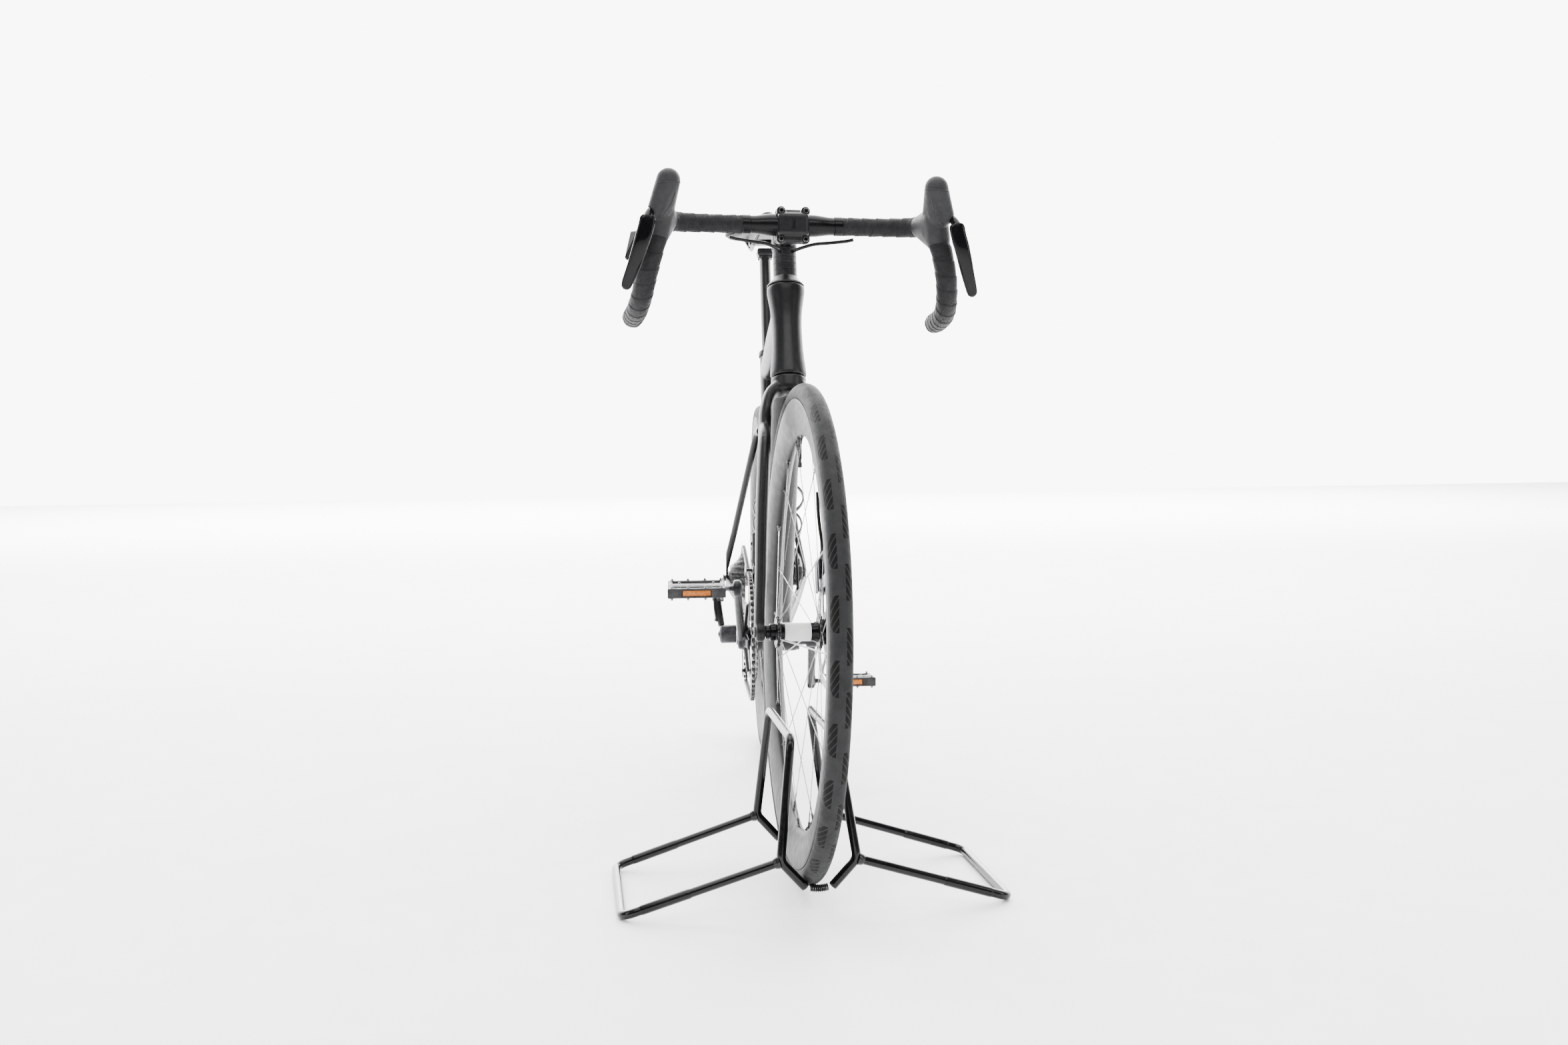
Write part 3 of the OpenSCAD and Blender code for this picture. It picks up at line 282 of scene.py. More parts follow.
nmat("cage_alloy", (0.006, 0.006, 0.0066), (0.012, 0.012, 0.013), (0.3, 0.42), metal=0.4, nscale=90, bump=(900, 0.12, 0.0002), wear=(0.2, 0.2, 0.2))
nmat("stand_paint", (0.002, 0.002, 0.0024), (0.0045, 0.0045, 0.005), (0.12, 0.24), nscale=45, bump=(260, 0.12, 0.0004), coat=0.45, coat_r=0.08, wear=(0.05, 0.05, 0.05))
nmat("stand_sleeve", (0.002, 0.002, 0.0024), (0.0045, 0.0045, 0.005), (0.16, 0.3), nscale=45, bump=(320, 0.15, 0.0004), coat=0.35, coat_r=0.12)
nmat("spring_steel", (0.003, 0.003, 0.0034), (0.007, 0.007, 0.0076), (0.45, 0.6), metal=0.0, nscale=200, bump=(1500, 0.15, 0.0001))
nmat("bolt_steel", (0.010, 0.010, 0.011), (0.03, 0.03, 0.032), (0.2, 0.35), metal=0.8, nscale=200, bump=(1500, 0.15, 0.0001), wear=(0.25, 0.25, 0.25))
nmat("bearing_steel", (0.06, 0.06, 0.065), (0.14, 0.14, 0.145), (0.25, 0.4), metal=0.9, nscale=150, bump=(1500, 0.12, 0.0001))
nmat("label_white", (0.72, 0.72, 0.71), (0.82, 0.82, 0.81), (0.45, 0.6), nscale=60, bump=(1200, 0.1, 0.0001))
nmat("reflector", (0.42, 0.11, 0.012), (0.62, 0.19, 0.02), (0.12, 0.22), nscale=200, bump=(0, 0.9, 0.0008), kind="dots", kscale=420, coat=0.8, coat_r=0.05)
nmat("floor", (0.90, 0.90, 0.90), (0.94, 0.94, 0.94), (0.5, 0.62), nscale=6, bump=(60, 0.02, 0.0005))

# tyre: grey rubber, with slanted sipes on both shoulders laid out round the tread by UV; the sipes are recessed by bump
# and filled with painted shade (near-black)
def tyre_material():
    mt = nmat("tyre_rubber", (0.017, 0.0173, 0.0178), (0.025, 0.0254, 0.0262), (0.6, 0.75), nscale=55, bump=(700, 0.25, 0.0003), spec=0.2)
    nt = mt.node_tree; N = nt.nodes; L = nt.links; bs = N["Principled BSDF"]
    uv = N.new("ShaderNodeUVMap"); uv.uv_map = "UVMap"; sep = N.new("ShaderNodeSeparateXYZ"); L.new(uv.outputs["UV"], sep.inputs[0])
    def mth(op, a, b=None, c=None):
        n = N.new("ShaderNodeMath"); n.operation = op
        for i, x in enumerate((a, b, c)):
            if x is None: continue
            if isinstance(x, (int, float)): n.inputs[i].default_value = x
            else: L.new(x, n.inputs[i])
        return n.outputs[0]
    u, v = sep.outputs["X"], sep.outputs["Y"]          # u: tread blocks round the wheel, v: -1..1 across the tread
    av = mth("ABSOLUTE", v)
    sgn = mth("SIGN", v)
    uu = mth("ADD", u, mth("MULTIPLY", sgn, 0.25))
    fu = mth("FRACT", uu)
    # leaf outline: wide in the middle, pointed at its ends, on the shoulder
    cen = mth("ABSOLUTE", mth("SUBTRACT", fu, 0.5)); cen = mth("MULTIPLY", cen, 0.86)
    top = mth("SUBTRACT", 0.86, mth("MULTIPLY", mth("POWER", mth("MULTIPLY", cen, 3.4), 2.0), 0.5))
    inside = mth("MULTIPLY", mth("LESS_THAN", av, top), mth("GREATER_THAN", av, 0.20))
    inside = mth("MULTIPLY", inside, mth("LESS_THAN", cen, 0.25))
    # slanted strokes inside the leaf
    slant = mth("FRACT", mth("ADD", mth("MULTIPLY", fu, 7.0), mth("MULTIPLY", av, 3.0)))
    stroke = mth("LESS_THAN", slant, 0.8)
    sipe_recess_and_shade_mask = mth("MULTIPLY", inside, stroke)
    # painted shade: the same mask colours the recessed sipes near-black, as shade in the grooves
    mx = N.new("ShaderNodeMix"); mx.data_type = "RGBA"
    src = bs.inputs["Base Color"].links[0].from_socket
    L.new(sipe_recess_and_shade_mask, mx.inputs["Factor"]); L.new(src, mx.inputs["A"]); mx.inputs["B"].default_value = (0.0035, 0.0035, 0.0035, 1)
    L.new(mx.outputs["Result"], bs.inputs["Base Color"])
    old = bs.inputs["Normal"].links[0].from_node
    b2 = N.new("ShaderNodeBump"); b2.inputs["Strength"].default_value = 0.5; b2.inputs["Distance"].default_value = 0.0006; b2.invert = True
    L.new(sipe_recess_and_shade_mask, b2.inputs["Height"]); L.new(old.outputs["Normal"], b2.inputs["Normal"]); L.new(b2.outputs["Normal"], bs.inputs["Normal"])
tyre_material()

# ---------------------------------------------------------------- wheels
def arc(cx, cy, r, a0, a1, n):
    a = np.radians(np.linspace(a0, a1, n)); return [(cx + r * math.cos(t), cy + r * math.sin(t)) for t in a]
RIM_R = R - 22.5; RIM_IN = RIM_R - 49.5
def tyre_mesh(name, tf, body, node):
    rc, w = R - 14.5, 14.35
    sec = []; vs = []
    for a in np.linspace(-112, 112, 41):
        t = math.radians(a)
        k = 1.0
        rr = rc + w * math.cos(t); yy = w * math.sin(t)
        sec.append((rr, yy)); vs.append(a / 90)
    # bead lip down into the rim, both sides
    sec = [(RIM_R + 0.4, -11.6), (RIM_R + 1.6, -12.6)] + sec + [(RIM_R + 1.6, 12.6), (RIM_R + 0.4, 11.6)]
    vs = [-1.4, -1.35] + vs + [1.35, 1.4]
    sec = [(max(a, RIM_R + 0.4), b) for a, b in sec]
    n = 240; m = M(); k = len(sec); V = []; U = []
    for i in range(n + 1):
        a = 2 * np.pi * i / n
        for (r, y), vv in zip(sec, vs):
            V.append((r * math.cos(a), y, r * math.sin(a))); U.append((i / n * 28.0, vv))
    f = [(i * k + j, (i + 1) * k + j, (i + 1) * k + j + 1, i * k + j + 1) for i in range(n) for j in range(k - 1)]
    # inner skin closes the section
    m.add(V, f)
    V2 = []; 
    for i in range(n + 1):
        a = 2 * np.pi * i / n
        for r, y in [(RIM_R + 0.4, -11.6), (RIM_R + 0.2, 0), (RIM_R + 0.4, 11.6)]: V2.append((r * math.cos(a), y, r * math.sin(a)))
    f2 = [(i * 3 + j, i * 3 + j + 1, (i + 1) * 3 + j + 1, (i + 1) * 3 + j) for i in range(n) for j in range(2)]
    m.add(V2, f2)
    uv = np.array(U + [(0.0, 3.0)] * len(V2))
    return make(name, m, tf, body, "tyre_rubber", (node,), smooth=0, uv=uv)
def rim_mesh(name, tf, body, node):
    half = [(RIM_R + 0.9, 12.3), (RIM_R + 0.9, 13.3), (RIM_R - 0.6, 13.9), (RIM_R - 4, 14.1), (RIM_R - 12, 13.9), (RIM_R - 22, 12.9), (RIM_R - 31, 11.0), (RIM_R - 38, 8.6), (RIM_IN + 6.5, 6.2), (RIM_IN + 2.6, 4.2), (RIM_IN + 0.7, 2.2), (RIM_IN + 0.2, 0.8)]
    prof = [(r, -y) for r, y in half] + [(r, y) for r, y in half[::-1]]
    prof += [(RIM_R + 0.3, 11.0), (RIM_R - 2.0, 9.5), (RIM_R - 2.5, 0), (RIM_R - 2.0, -9.5), (RIM_R + 0.3, -11.0)]
    v, f = lathe(prof, 220, closed=True); m = M().add(v, f)
    return make(name, m, tf, body, "rim_carbon", (node,), smooth=50)
def spoke_set(name, tf, body, node, yr, yl, rr, rl):
    m = M(); n = 24
    for i in range(n):
        s = i % 2; a = 2 * np.pi * i / n; o = math.radians(24) * (1 if (i // 2) % 2 else -1)
        yy, hr = (yl, rl) if s else (yr, rr)
        p0 = np.array([(hr - 2.5) * math.cos(a + o), yy, (hr - 2.5) * math.sin(a + o)]); q = np.array([(RIM_IN + 1.5) * math.cos(a), 1.5 if s else -1.5, (RIM_IN + 1.5) * math.sin(a)])
        d = unit(q - p0); L = np.linalg.norm(q - p0)
        side = np.array([0, 1, 0])
        pts = np.array([p0, p0 + d * 10, p0 + d * 16, q - d * 28, q - d * 22, q])
        # bladed: thin across, deep along the wheel's plane
        v, f = tube(pts, [(0, 0.95), (0.2, 0.95), (0.4, 0.5), (0.6, 0.5), (0.8, 0.9), (1, 0.9)], [(0, 0.95), (0.2, 0.95), (0.4, 1.25), (0.6, 1.25), (0.8, 0.9), (1, 0.9)], n=8, side=side)
        m.add(v, f, mi=0)
        v, f = rod(p0 - d * 1.5, p0 + d * 3.5, 1.9, 10); m.add(v, f, mi=0)
        v, f = tube(np.array([q - d * 13, q - d * 12, q - d * 4, q - d * 3.6, q]), [(0, 1.1), (0.25, 1.75), (0.5, 1.75), (0.75, 2.7), (1, 2.7)], n=8, side=side); m.add(v, f, mi=1)
    return make(name, m, tf, body, ["spoke_steel", "nipple_black"], (node,), smooth=45)
def rotor_mesh(name, tf, body, node, y, dirn=1):
    m = M()
    # brake track from a polar grid with drilled windows left out
    na, rs = 360, [65.5, 67.2, 69, 70.8, 72.6, 74.4, 76.2, 78, 79.6]
    def hole(i, j):
        a = i % 30
        if j in (0, 7): return False
        c = (j - 1) * 2.2
        for k, ph in enumerate((2, 9, 16, 23)):
            if abs(((a - ph - (j - 1) * 1.1 * dirn) % 30)) < 2.0 and (1 <= j <= 6) and (k % 2 == 0 or 2 <= j <= 5): return True
        return False
    wav = lambda i, r: r + (0.6 * math.sin(i * math.pi / 15) if r > 79 or r < 66 else 0)
    for yy in (-0.85, 0.85):
        V = [(wav(i, r) * math.cos(2 * np.pi * i / na), y + yy, wav(i, r) * math.sin(2 * np.pi * i / na)) for i in range(na) for r in rs]
        k = len(rs); F = [(i * k + j, i * k + j + 1, ((i + 1) % na) * k + j + 1, ((i + 1) % na) * k + j) for i in range(na) for j in range(k - 1) if not hole(i, j)]
        m.add(V, F)
    k = len(rs); base = na * k; F = []
    solid = lambda i, j: 0 <= j < k - 1 and not hole(i % na, j)
    for i in range(na):
        for j in range(k - 1):
            if not solid(i, j): continue
            a, b, c, d = i * k + j, i * k + j + 1, ((i + 1) % na) * k + j + 1, ((i + 1) % na) * k + j
            if not solid(i, j - 1): F.append((a, d, d + base, a + base))
            if not solid(i, j + 1): F.append((b, c, c + base, b + base))
            if not solid(i - 1, j): F.append((a, b, b + base, a + base))
            if not solid(i + 1, j): F.append((c, d, d + base, c + base))
    m.f += F; m.mi += [0] * len(F)
    for s in range(6):
        a0 = s * math.pi / 3
        pts = []
        for t in np.linspace(0, 1, 9):
            r = 24 + t * 43; a = a0 + dirn * 0.55 * (1 - t) ** 1.4
            pts.append((r * math.cos(a), y, r * math.sin(a)))
        v, f = tube(np.array(pts), [(0, 0.9), (1, 0.9)], [(0, 6.5), (0.5, 3.6), (1, 5.0)], n=12, side=(0, 1, 0), e=4); m.add(v, f, mi=1)
    v, f = lathe([(18.2, y - 1.4), (27.5, y - 1.4), (28, y), (27.5, y + 1.4), (18.2, y + 1.4)], 60, closed=True); m.add(v, f, mi=1)
    v, f = lathe([(12, y + 1.0), (19.5, y + 1.0), (21, y + 1.6), (21, y + 3.4), (19.5, y + 4.2), (12, y + 4.2)], 60, closed=True); m.add(v, f, mi=1)
    for s in range(12):
        a = s * math.pi / 6; v, f = rod([23.5 * math.cos(a), y - 1.6, 23.5 * math.sin(a)], [23.5 * math.cos(a), y + 1.8, 23.5 * math.sin(a)], 1.3, 8); m.add(v, f, mi=1)
    return make(name, m, tf, body, ["rotor_steel", "rotor_dark"], (node,), smooth=35)
def hub_mesh(name, tf, body, node, yr, yl, rr, rl, yend_r, yend_l, label=False):
    m = M()
    prof = [(6.1, yend_r), (8.6, yend_r), (9.4, yend_r + 0.8), (9.6, yend_r + 5), (11.5, yend_r + 6.5), (11.8, yr - 3.4), (13, yr - 2.2), (rr - 1, yr - 1.9), (rr, yr - 1.0), (rr, yr + 1.0), (rr - 1, yr + 1.9), (14.2, yr + 2.6), (12.6, yr + 7), (12.4, (yr + yl) / 2), (12.8, yl - 9), (15.2, yl - 2.8), (rl - 1, yl - 1.9), (rl, yl - 1.0), (rl, yl + 1.0), (rl - 1, yl + 1.9), (17.6, yl + 2.4), (17.4, yend_l - 5), (11.5, yend_l - 4), (11.2, yend_l - 0.8), (10.4, yend_l), (6.1, yend_l)]
    v, f = lathe(prof, 72, closed=True); m.add(v, f)
    for yy, rad in ((yr, rr), (yl, rl)):
        for i in range(12):
            a = math.radians(i * 30 + (0 if yy < 0 else 15))
            v, f = rbox([rad * 0.93 * math.cos(a), yy, rad * 0.93 * math.sin(a)], [6.4, 5.2, 7.5], 1.4, rot=[([0, 1, 0], -math.degrees(a))]); m.add(v, f)
    if label:
        v, f = lathe([(12.72, yr + 9), (12.82, yr + 9.2), (12.72, yl - 12.2), (12.6, yl - 12)], 72); m.add(v, f, mi=1)
    return make(name, m, tf, body, ["hub_black", "label_white"], (node,), smooth=35)
def valve_mesh(name, tf, body):
    m = M()
    r0 = RIM_IN
    for a, b, r in (((r0 + 1), (r0 - 1.2), 4.6), ((r0 - 1.0), (r0 - 30), 2.6), ((r0 - 30), (r0 - 34), 2.1), ((r0 - 34), (r0 - 41), 3.0)):
        ang = math.radians(97); d = np.array([math.cos(ang), 0, math.sin(ang)])
        v, f = rod(d * a, d * b, r, 14); m.add(v, f)
    return make(name, m, tf, body, "hub_black", smooth=35)
for w, tf, yr, yl, rr, rl, yer, yel, rot in (("front", toFW, -33, 25, 20, 22, -49.8, 47.8, 34.5), ("rear", toRW, -19, 34, 24, 22, -23, 71, 51)):
    b = w + "_wheel"
    tyre_mesh(w + "_tyre_v", tf, b, w + "_tyre"); rim_mesh(w + "_rim_v", tf, b, w + "_rim")
    spoke_set(w + "_spokes_v", tf, b, w + "_spokes", yr, yl, rr, rl); rotor_mesh(w + "_rotor_v", tf, b, w + "_rotor", rot)
    hub_mesh(w + "_hub_v", tf, b, w + "_hub", yr, yl, rr, rl, yer, yel, label=(w == "front")); valve_mesh(w + "_valve_v", tf, b)

# ---------------------------------------------------------------- more mesh tools
def transport(path, up=(0.3, 0.2, 1)):
    path = A(path); t = np.gradient(path, axis=0); t /= np.linalg.norm(t, axis=1)[:, None]
    b = np.zeros_like(t); u = np.array(up, float); u = u - t[0] * (u @ t[0]); b[0] = u / np.linalg.norm(u)
    for i in range(1, len(t)):
        u = b[i - 1] - t[i] * (b[i - 1] @ t[i]); b[i] = u / np.linalg.norm(u)
    return t, b, np.cross(t, b)
def ptube(path, r, n=16, up=(0.3, 0.2, 1), rf=None, round_ends=0, cap=True):
    path = A(path); m = len(path); r = np.full(m, r, float) if np.isscalar(r) else interp(r, m)
    t, b, c = transport(path, up); th = np.linspace(0, 2 * np.pi, n, endpoint=False)
    s = np.concatenate([[0], np.cumsum(np.linalg.norm(np.diff(path, axis=0), axis=1))])
    secs = []
    for i in range(m):
        rr = np.full(n, r[i]) if rf is None else np.array([rf(s[i], a, r[i]) for a in th])
        secs.append(path[i] + (np.outer(np.cos(th), b[i]) + np.outer(np.sin(th), c[i])) * rr[:, None])
    if round_ends:
        k = 4; o0 = [path[0] - t[0] * round_ends * math.sin(j / k * 1.5) + (secs[0] - path[0]) * math.cos(j / k * 1.5) for j in range(k, 0, -1)]
        o1 = [path[-1] + t[-1] * round_ends * math.sin(j / k * 1.5) + (secs[-1] - path[-1]) * math.cos(j / k * 1.5) for j in range(1, k + 1)]
        secs = o0 + secs + o1
    return loft(secs, cap=cap)
def route(p, b, m=10, step=0):
    p = [np.array(x, float) for x in p]; out = [p[0]]
    for i in range(1, len(p) - 1):
        u, v = unit(p[i] - p[i - 1]), unit(p[i + 1] - p[i]); c0 = max(-1, min(1, float(u @ v))); th = math.acos(c0)
        if th < 1e-3: out.append(p[i]); continue
        n = unit(v - u * c0); c = p[i] - u * b * math.tan(th / 2) + n * b
        out += [c + b * (u * math.sin(th * j / m) - n * math.cos(th * j / m)) for j in range(m + 1)]
    out.append(p[-1]); out = np.array(out)
    if step:
        s = np.concatenate([[0], np.cumsum(np.linalg.norm(np.diff(out, axis=0), axis=1))]); k = max(4, int(s[-1] / step)); q = np.linspace(0, s[-1], k)
        out = np.stack([np.interp(q, s, out[:, i]) for i in range(3)], 1)
    return out
def resample(out, step):
    s = np.concatenate([[0], np.cumsum(np.linalg.norm(np.diff(out, axis=0), axis=1))]); k = max(4, int(s[-1] / step)); q = np.linspace(0, s[-1], k)
    return np.stack([np.interp(q, s, out[:, i]) for i in range(3)], 1)
def hull_of(balls, n=14):
    bm = bmesh.new()
    for (c, r) in balls:
        for i in range(n):
            for j in range(n * 2):
                a, b = math.pi * (i + 0.5) / n, math.pi * j / n
                bm.verts.new((c[0] + r * math.sin(a) * math.cos(b), c[1] + r * math.sin(a) * math.sin(b), c[2] + r * math.cos(a)))
    g = bmesh.ops.convex_hull(bm, input=bm.verts[:])
    bmesh.ops.delete(bm, geom=list({x for x in g["geom_interior"] + g["geom_unused"] if isinstance(x, bmesh.types.BMVert)}), context="VERTS")
    bm.verts.index_update(); bm.verts.ensure_lookup_table()
    v = np.array([x.co[:] for x in bm.verts]); f = [tuple(q.index for q in x.verts) for x in bm.faces]; bm.free(); return v, f
def along(o, d, prof, n=64, closed=False):
    """revolve prof (radius, distance) round the line o + t d"""
    v, f = lathe(prof, n, closed=closed); d = unit(d); y = np.array([0, 1, 0.0]); k = np.cross(y, d); s = np.linalg.norm(k)
    if s > 1e-6: v = rotv(v, k, math.atan2(s, float(y @ d)))
    elif d[1] < 0: v = rotv(v, [1, 0, 0], math.pi)
    return v + np.array(o, float), f
def ringpart(outer, inner, y0, y1, ch=0.0):
    """flat ring between two outlines with the same number of points (x, z)"""
    o, i_ = np.array(outer, float), np.array(inner, float); n = len(o)
    co, ci = o / np.linalg.norm(o, axis=1)[:, None], i_ / np.linalg.norm(i_, axis=1)[:, None]
    L = lambda p, y: np.stack([p[:, 0], np.full(n, y), p[:, 1]], 1)
    rows = [L(i_, y0), L(o - co * ch, y0), L(o, y0 + ch), L(o, y1 - ch), L(o - co * ch, y1), L(i_, y1)]
    v = np.concatenate(rows); k = len(rows)
    f = [(r * n + j, r * n + (j + 1) % n, ((r + 1) % k) * n + (j + 1) % n, ((r + 1) % k) * n + j) for r in range(k) for j in range(n)]
    return v, f
def prad(n): return 12.7 / (2 * math.sin(math.pi / n))
def gear_outline(n, ro, ri):
    pts = []
    for i in range(n):
        for k, r in ((-0.10, ro), (0.0, ro + 0.12), (0.10, ro), (0.20, ro - (ro - ri) * 0.45), (0.30, ri + 0.5), (0.40, ri + 0.05), (0.5, ri), (0.60, ri + 0.05), (0.70, ri + 0.5), (0.80, ro - (ro - ri) * 0.45)):
            a = (i + k) * 2 * math.pi / n; pts.append((r * math.cos(a), r * math.sin(a)))
    return pts
def circ(r, n, wob=None): return [((r if wob is None else wob(2 * math.pi * i / n)) * math.cos(2 * math.pi * (i - 1) / n), (r if wob is None else wob(2 * math.pi * i / n)) * math.sin(2 * math.pi * (i - 1) / n)) for i in range(n)]
def hexbolt(o, d, r, h, hx=None, depth=None, n=24):
    """round head with a hexagon socket, its top at o + d h"""
    hx = hx or r * 0.52; depth = depth or h * 0.6; d = unit(d)
    th = np.linspace(0, 2 * np.pi, n, endpoint=False)
    hr = np.array([hx / math.cos(((a + math.pi / 6) % (math.pi / 3)) - math.pi / 6) for a in th])
    C, S_ = np.cos(th), np.sin(th); L = lambda rr, y: np.stack([rr * C, np.full(n, y), rr * S_], 1); one = np.ones(n)
    v, f = loft([L(one * r, 0), L(one * r, h - 0.7), L(one * (r - 0.6), h), L(hr, h), L(hr * 0.98, h - depth)])
    y = np.array([0, 1, 0.0]); k = np.cross(y, d); s = np.linalg.norm(k)
    if s > 1e-6: v = rotv(v, k, math.atan2(s, float(y @ d)))
    elif d[1] < 0: v = rotv(v, [1, 0, 0], math.pi)
    return v + np.array(o, float), f
def cut(ob, tf, cutters):
    m = M()
    for v, f in cutters: m.add(v, f)
    me = bpy.data.meshes.new("c"); me.from_pydata([tuple(x) for x in tf(m.verts())], [], m.f); me.update()
    bm = bmesh.new(); bm.from_mesh(me); bmesh.ops.recalc_face_normals(bm, faces=bm.faces); bm.to_mesh(me); bm.free()
    co = bpy.data.objects.new("c", me); bpy.context.scene.collection.objects.link(co)
    md = ob.modifiers.new("b", "BOOLEAN"); md.operation = "DIFFERENCE"; md.object = co; md.solver = "EXACT"; md.use_self = True
    dg = bpy.context.evaluated_depsgraph_get(); me2 = bpy.data.meshes.new_from_object(ob.evaluated_get(dg)); ob.modifiers.remove(md)
    keep = [s.material for s in ob.material_slots]; ob.data = me2
    me2.materials.clear()
    for x in keep: me2.materials.append(x)
    bpy.data.objects.remove(co)
    bm = bmesh.new(); bm.from_mesh(me2)
    for e in bm.edges:
        if len(e.link_faces) == 2 and e.calc_face_angle(0) > math.radians(38): e.smooth = False
    bm.to_mesh(me2); bm.free(); me2.polygons.foreach_set("use_smooth", [True] * len(me2.polygons))
def onseat(s): return BBP + s * SAX
def mY(p, s): p = A(p).copy(); p[:, 1] *= s; return p

# ---------------------------------------------------------------- frame
m = M()
m.add(*along(HT_BOT, HAX, [(0.01, 0), (25.8, 0), (26.5, 0.8), (26.4, 6), (25.6, 16), (24.2, 28), (23.0, 42), (22.2, 60), (21.9, 76), (22.4, 92), (23.8, 106), (26.0, 120), (27.6, 130), (28.0, 136), (28, 139.2), (27.3, 140), (0.01, 140)], 64))
a, b = HT_BOT + HAX * 34, BBP + [12, 0, 14]
m.add(*tube(np.linspace(a, b, 40), [(0, 20.5), (0.06, 21.5), (0.16, 23), (0.5, 24), (1, 24)], [(0, 27), (0.05, 26), (0.12, 25), (1, 25)], n=48, e=2.15))
a, b = HT_TOP - HAX * 26, onseat(486)
m.add(*tube(np.linspace(a, b, 40), [(0, 17), (0.5, 17), (1, 14)], [(0, 24), (0.06, 21.5), (0.16, 20), (1, 19)], n=48, e=2.2))
m.add(*tube(np.linspace(onseat(10), onseat(511.5), 40), 14.5, 22, n=48, e=2.1))
m.add(*ydisc(BBP, 24, 71.6, 64, 1.2))
ft = make("frame_tubes_v", m, toB, "frame", "frame_paint", ("frame_tubes",), soften=(0.002, 14))
cutm = [along(HT_BOT, HAX, [(0.01, -60), (27.7, -60), (27.7, -0.02), (21.1, -0.02), (21.1, 10), (16.1, 10), (16.1, 130), (21.1, 130), (21.1, 143), (0.01, 143)], 48), lathe([(0.01, -50), (20.6, -50), (20.6, 50), (0.01, 50)], 48, off=BBP),
        tube(np.linspace(onseat(175), onseat(580), 12), 10.45, 17.45, n=40)]
cut(ft, toB, cutm)
m = M()
CSR = lambda s: route([BBP + [-18, s * 22, 2], [300, s * 24, 276], [150, s * 52, 305], [10, s * 75.5, 334]], 80, 14, 6)
SSR = lambda s: route([onseat(372) + [-10, s * 17.5, 0], [250, s * 21, 622], [60, s * 60, 430], [12, s * 76, 362], [3, s * 76, 338]], 24, 10, 6)
for s in (-1, 1):
    m.add(*tube(CSR(s), [(0, 8.4), (0.5, 8.4), (1, 7.2)], [(0, 8.6), (0.35, 8.5), (1, 7.6)], n=28, round_ends=2))
    m.add(*tube(SSR(s), [(0, 6.4), (1, 6.2)], [(0, 8.5), (0.12, 6.6), (1, 6.4)], n=28, side=(0, 1, 0.01), round_ends=2))
    m.add(*ydisc([0, s * 75.5, 339], 14.8, 6.8, 48, 1.0))
    m.add(*rbox([-12 if s < 0 else 6, s * 75.5, 330], [16, 6, 26], 2.5))
m.add(*rod([240, -22, 612], [240, 22, 612], 5.0, 20))
fs = make("frame_stays_v", m, toB, "frame", "frame_paint", ("frame_stays",), soften=(0.0017, 4))
for vx in fs.data.vertices: vx.co.y = max(-0.079, min(0.079, vx.co.y))      # dropouts are flat on their outer faces
cut(fs, toB, [lathe([(0.01, -95), (6.4, -95), (6.4, 71.4), (18.6, 71.4), (18.6, 0.5), (6.4, 0.4), (6.4, 0), (27, -0.5), (27, -71.3), (6.4, -71.4)][:1] + [(6.4, -95), (6.4, -71.35), (27, -71.3), (27, -0.8), (6.5, -0.6), (6.5, 0.6), (19, 0.8), (19, 71.6), (6.4, 71.7), (6.4, 95), (0.01, 95)], 48, off=[0, 0, 339]), tube(np.linspace(onseat(290), onseat(440), 6), 14.4, 21.9, n=40)])
# cable ports, bottle bosses, small fittings on the frame
DTA = HT_BOT + HAX * 34; DTD = unit(DTA - BBP); DTN = np.array([-DTD[2], 0, DTD[0]])
m = M()
for t in (-1, 1):
    c = BBP + DTD * 395 + DTN * 17.0 + np.array([0, t * 16.5, 0]); m.add(*tube(np.array([c - DTD * 14, c - DTD * 6, c + DTD * 8, c + DTD * 16]), [(0, 2.5), (0.3, 4.2), (0.7, 3.6), (1, 2.2)], n=20, round_ends=2))
for s in (90, 165):
    c = onseat(s + 90) + np.array([math.cos(math.radians(16.5)), 0, math.sin(math.radians(16.5))]) * 21.6; d = np.array([math.cos(math.radians(16.5)), 0, math.sin(math.radians(16.5))])
    m.add(*hexbolt(c, d, 4.4, 2.6, 1.9))
make("frame_fittings", m, toB, "frame", "black_plastic", smooth=35)
m = M()
m.add(*tube(np.linspace(onseat(512.3), onseat(520), 5), [(0, 15.9), (0.2, 16.4), (0.8, 16.4), (1, 15.9)], [(0, 23.4), (0.2, 24), (0.8, 24), (1, 23.4)], n=64))
q = onseat(516.2) + np.array([-26, 0, 0]); m.add(*rbox(q, [11, 14, 7.6], 1.8, rot=[([0, 1, 0], -16.5)])); m.add(*rod(q + [0, -9.5, 0], q + [0, 9.5, 0], 2.6, 18)); m.add(*hexbolt(q + [0, 7, 0], [0, 1, 0], 3.8, 3.2)); m.add(*ydisc(q + [0, -8, 0], 3.6, 3, 20))
make("seat_clamp_v", m, toB, "frame", "black_alloy", ("seat_clamp",), smooth=35)
m = M()
m.add(*rod([0, -79, 339], [0, 79, 339], 6, 32)); m.add(*lathe([(0.01, 79), (9, 79.1), (9.2, 80), (8.8, 82), (4, 82.2), (3.4, 80.5), (0.01, 80.5)], 40, off=[0, 0, 339]))
m.add(*lathe([(0.01, -79), (7.5, -79.1), (7.5, -81), (4, -81.7), (3.2, -80.2), (0.01, -80.2)], 32, off=[0, 0, 339]))
m.add(*tube(np.array([[-1, -82, 336], [-4, -82.3, 329], [-9, -83, 318], [-14, -84, 306]]), [(0, 3.0), (1, 3.2)], [(0, 8), (0.4, 7), (1, 9)], n=28, round_ends=2))
make("rear_axle_v", m, toB, "frame", "black_alloy", ("rear_axle_unit",), smooth=40)
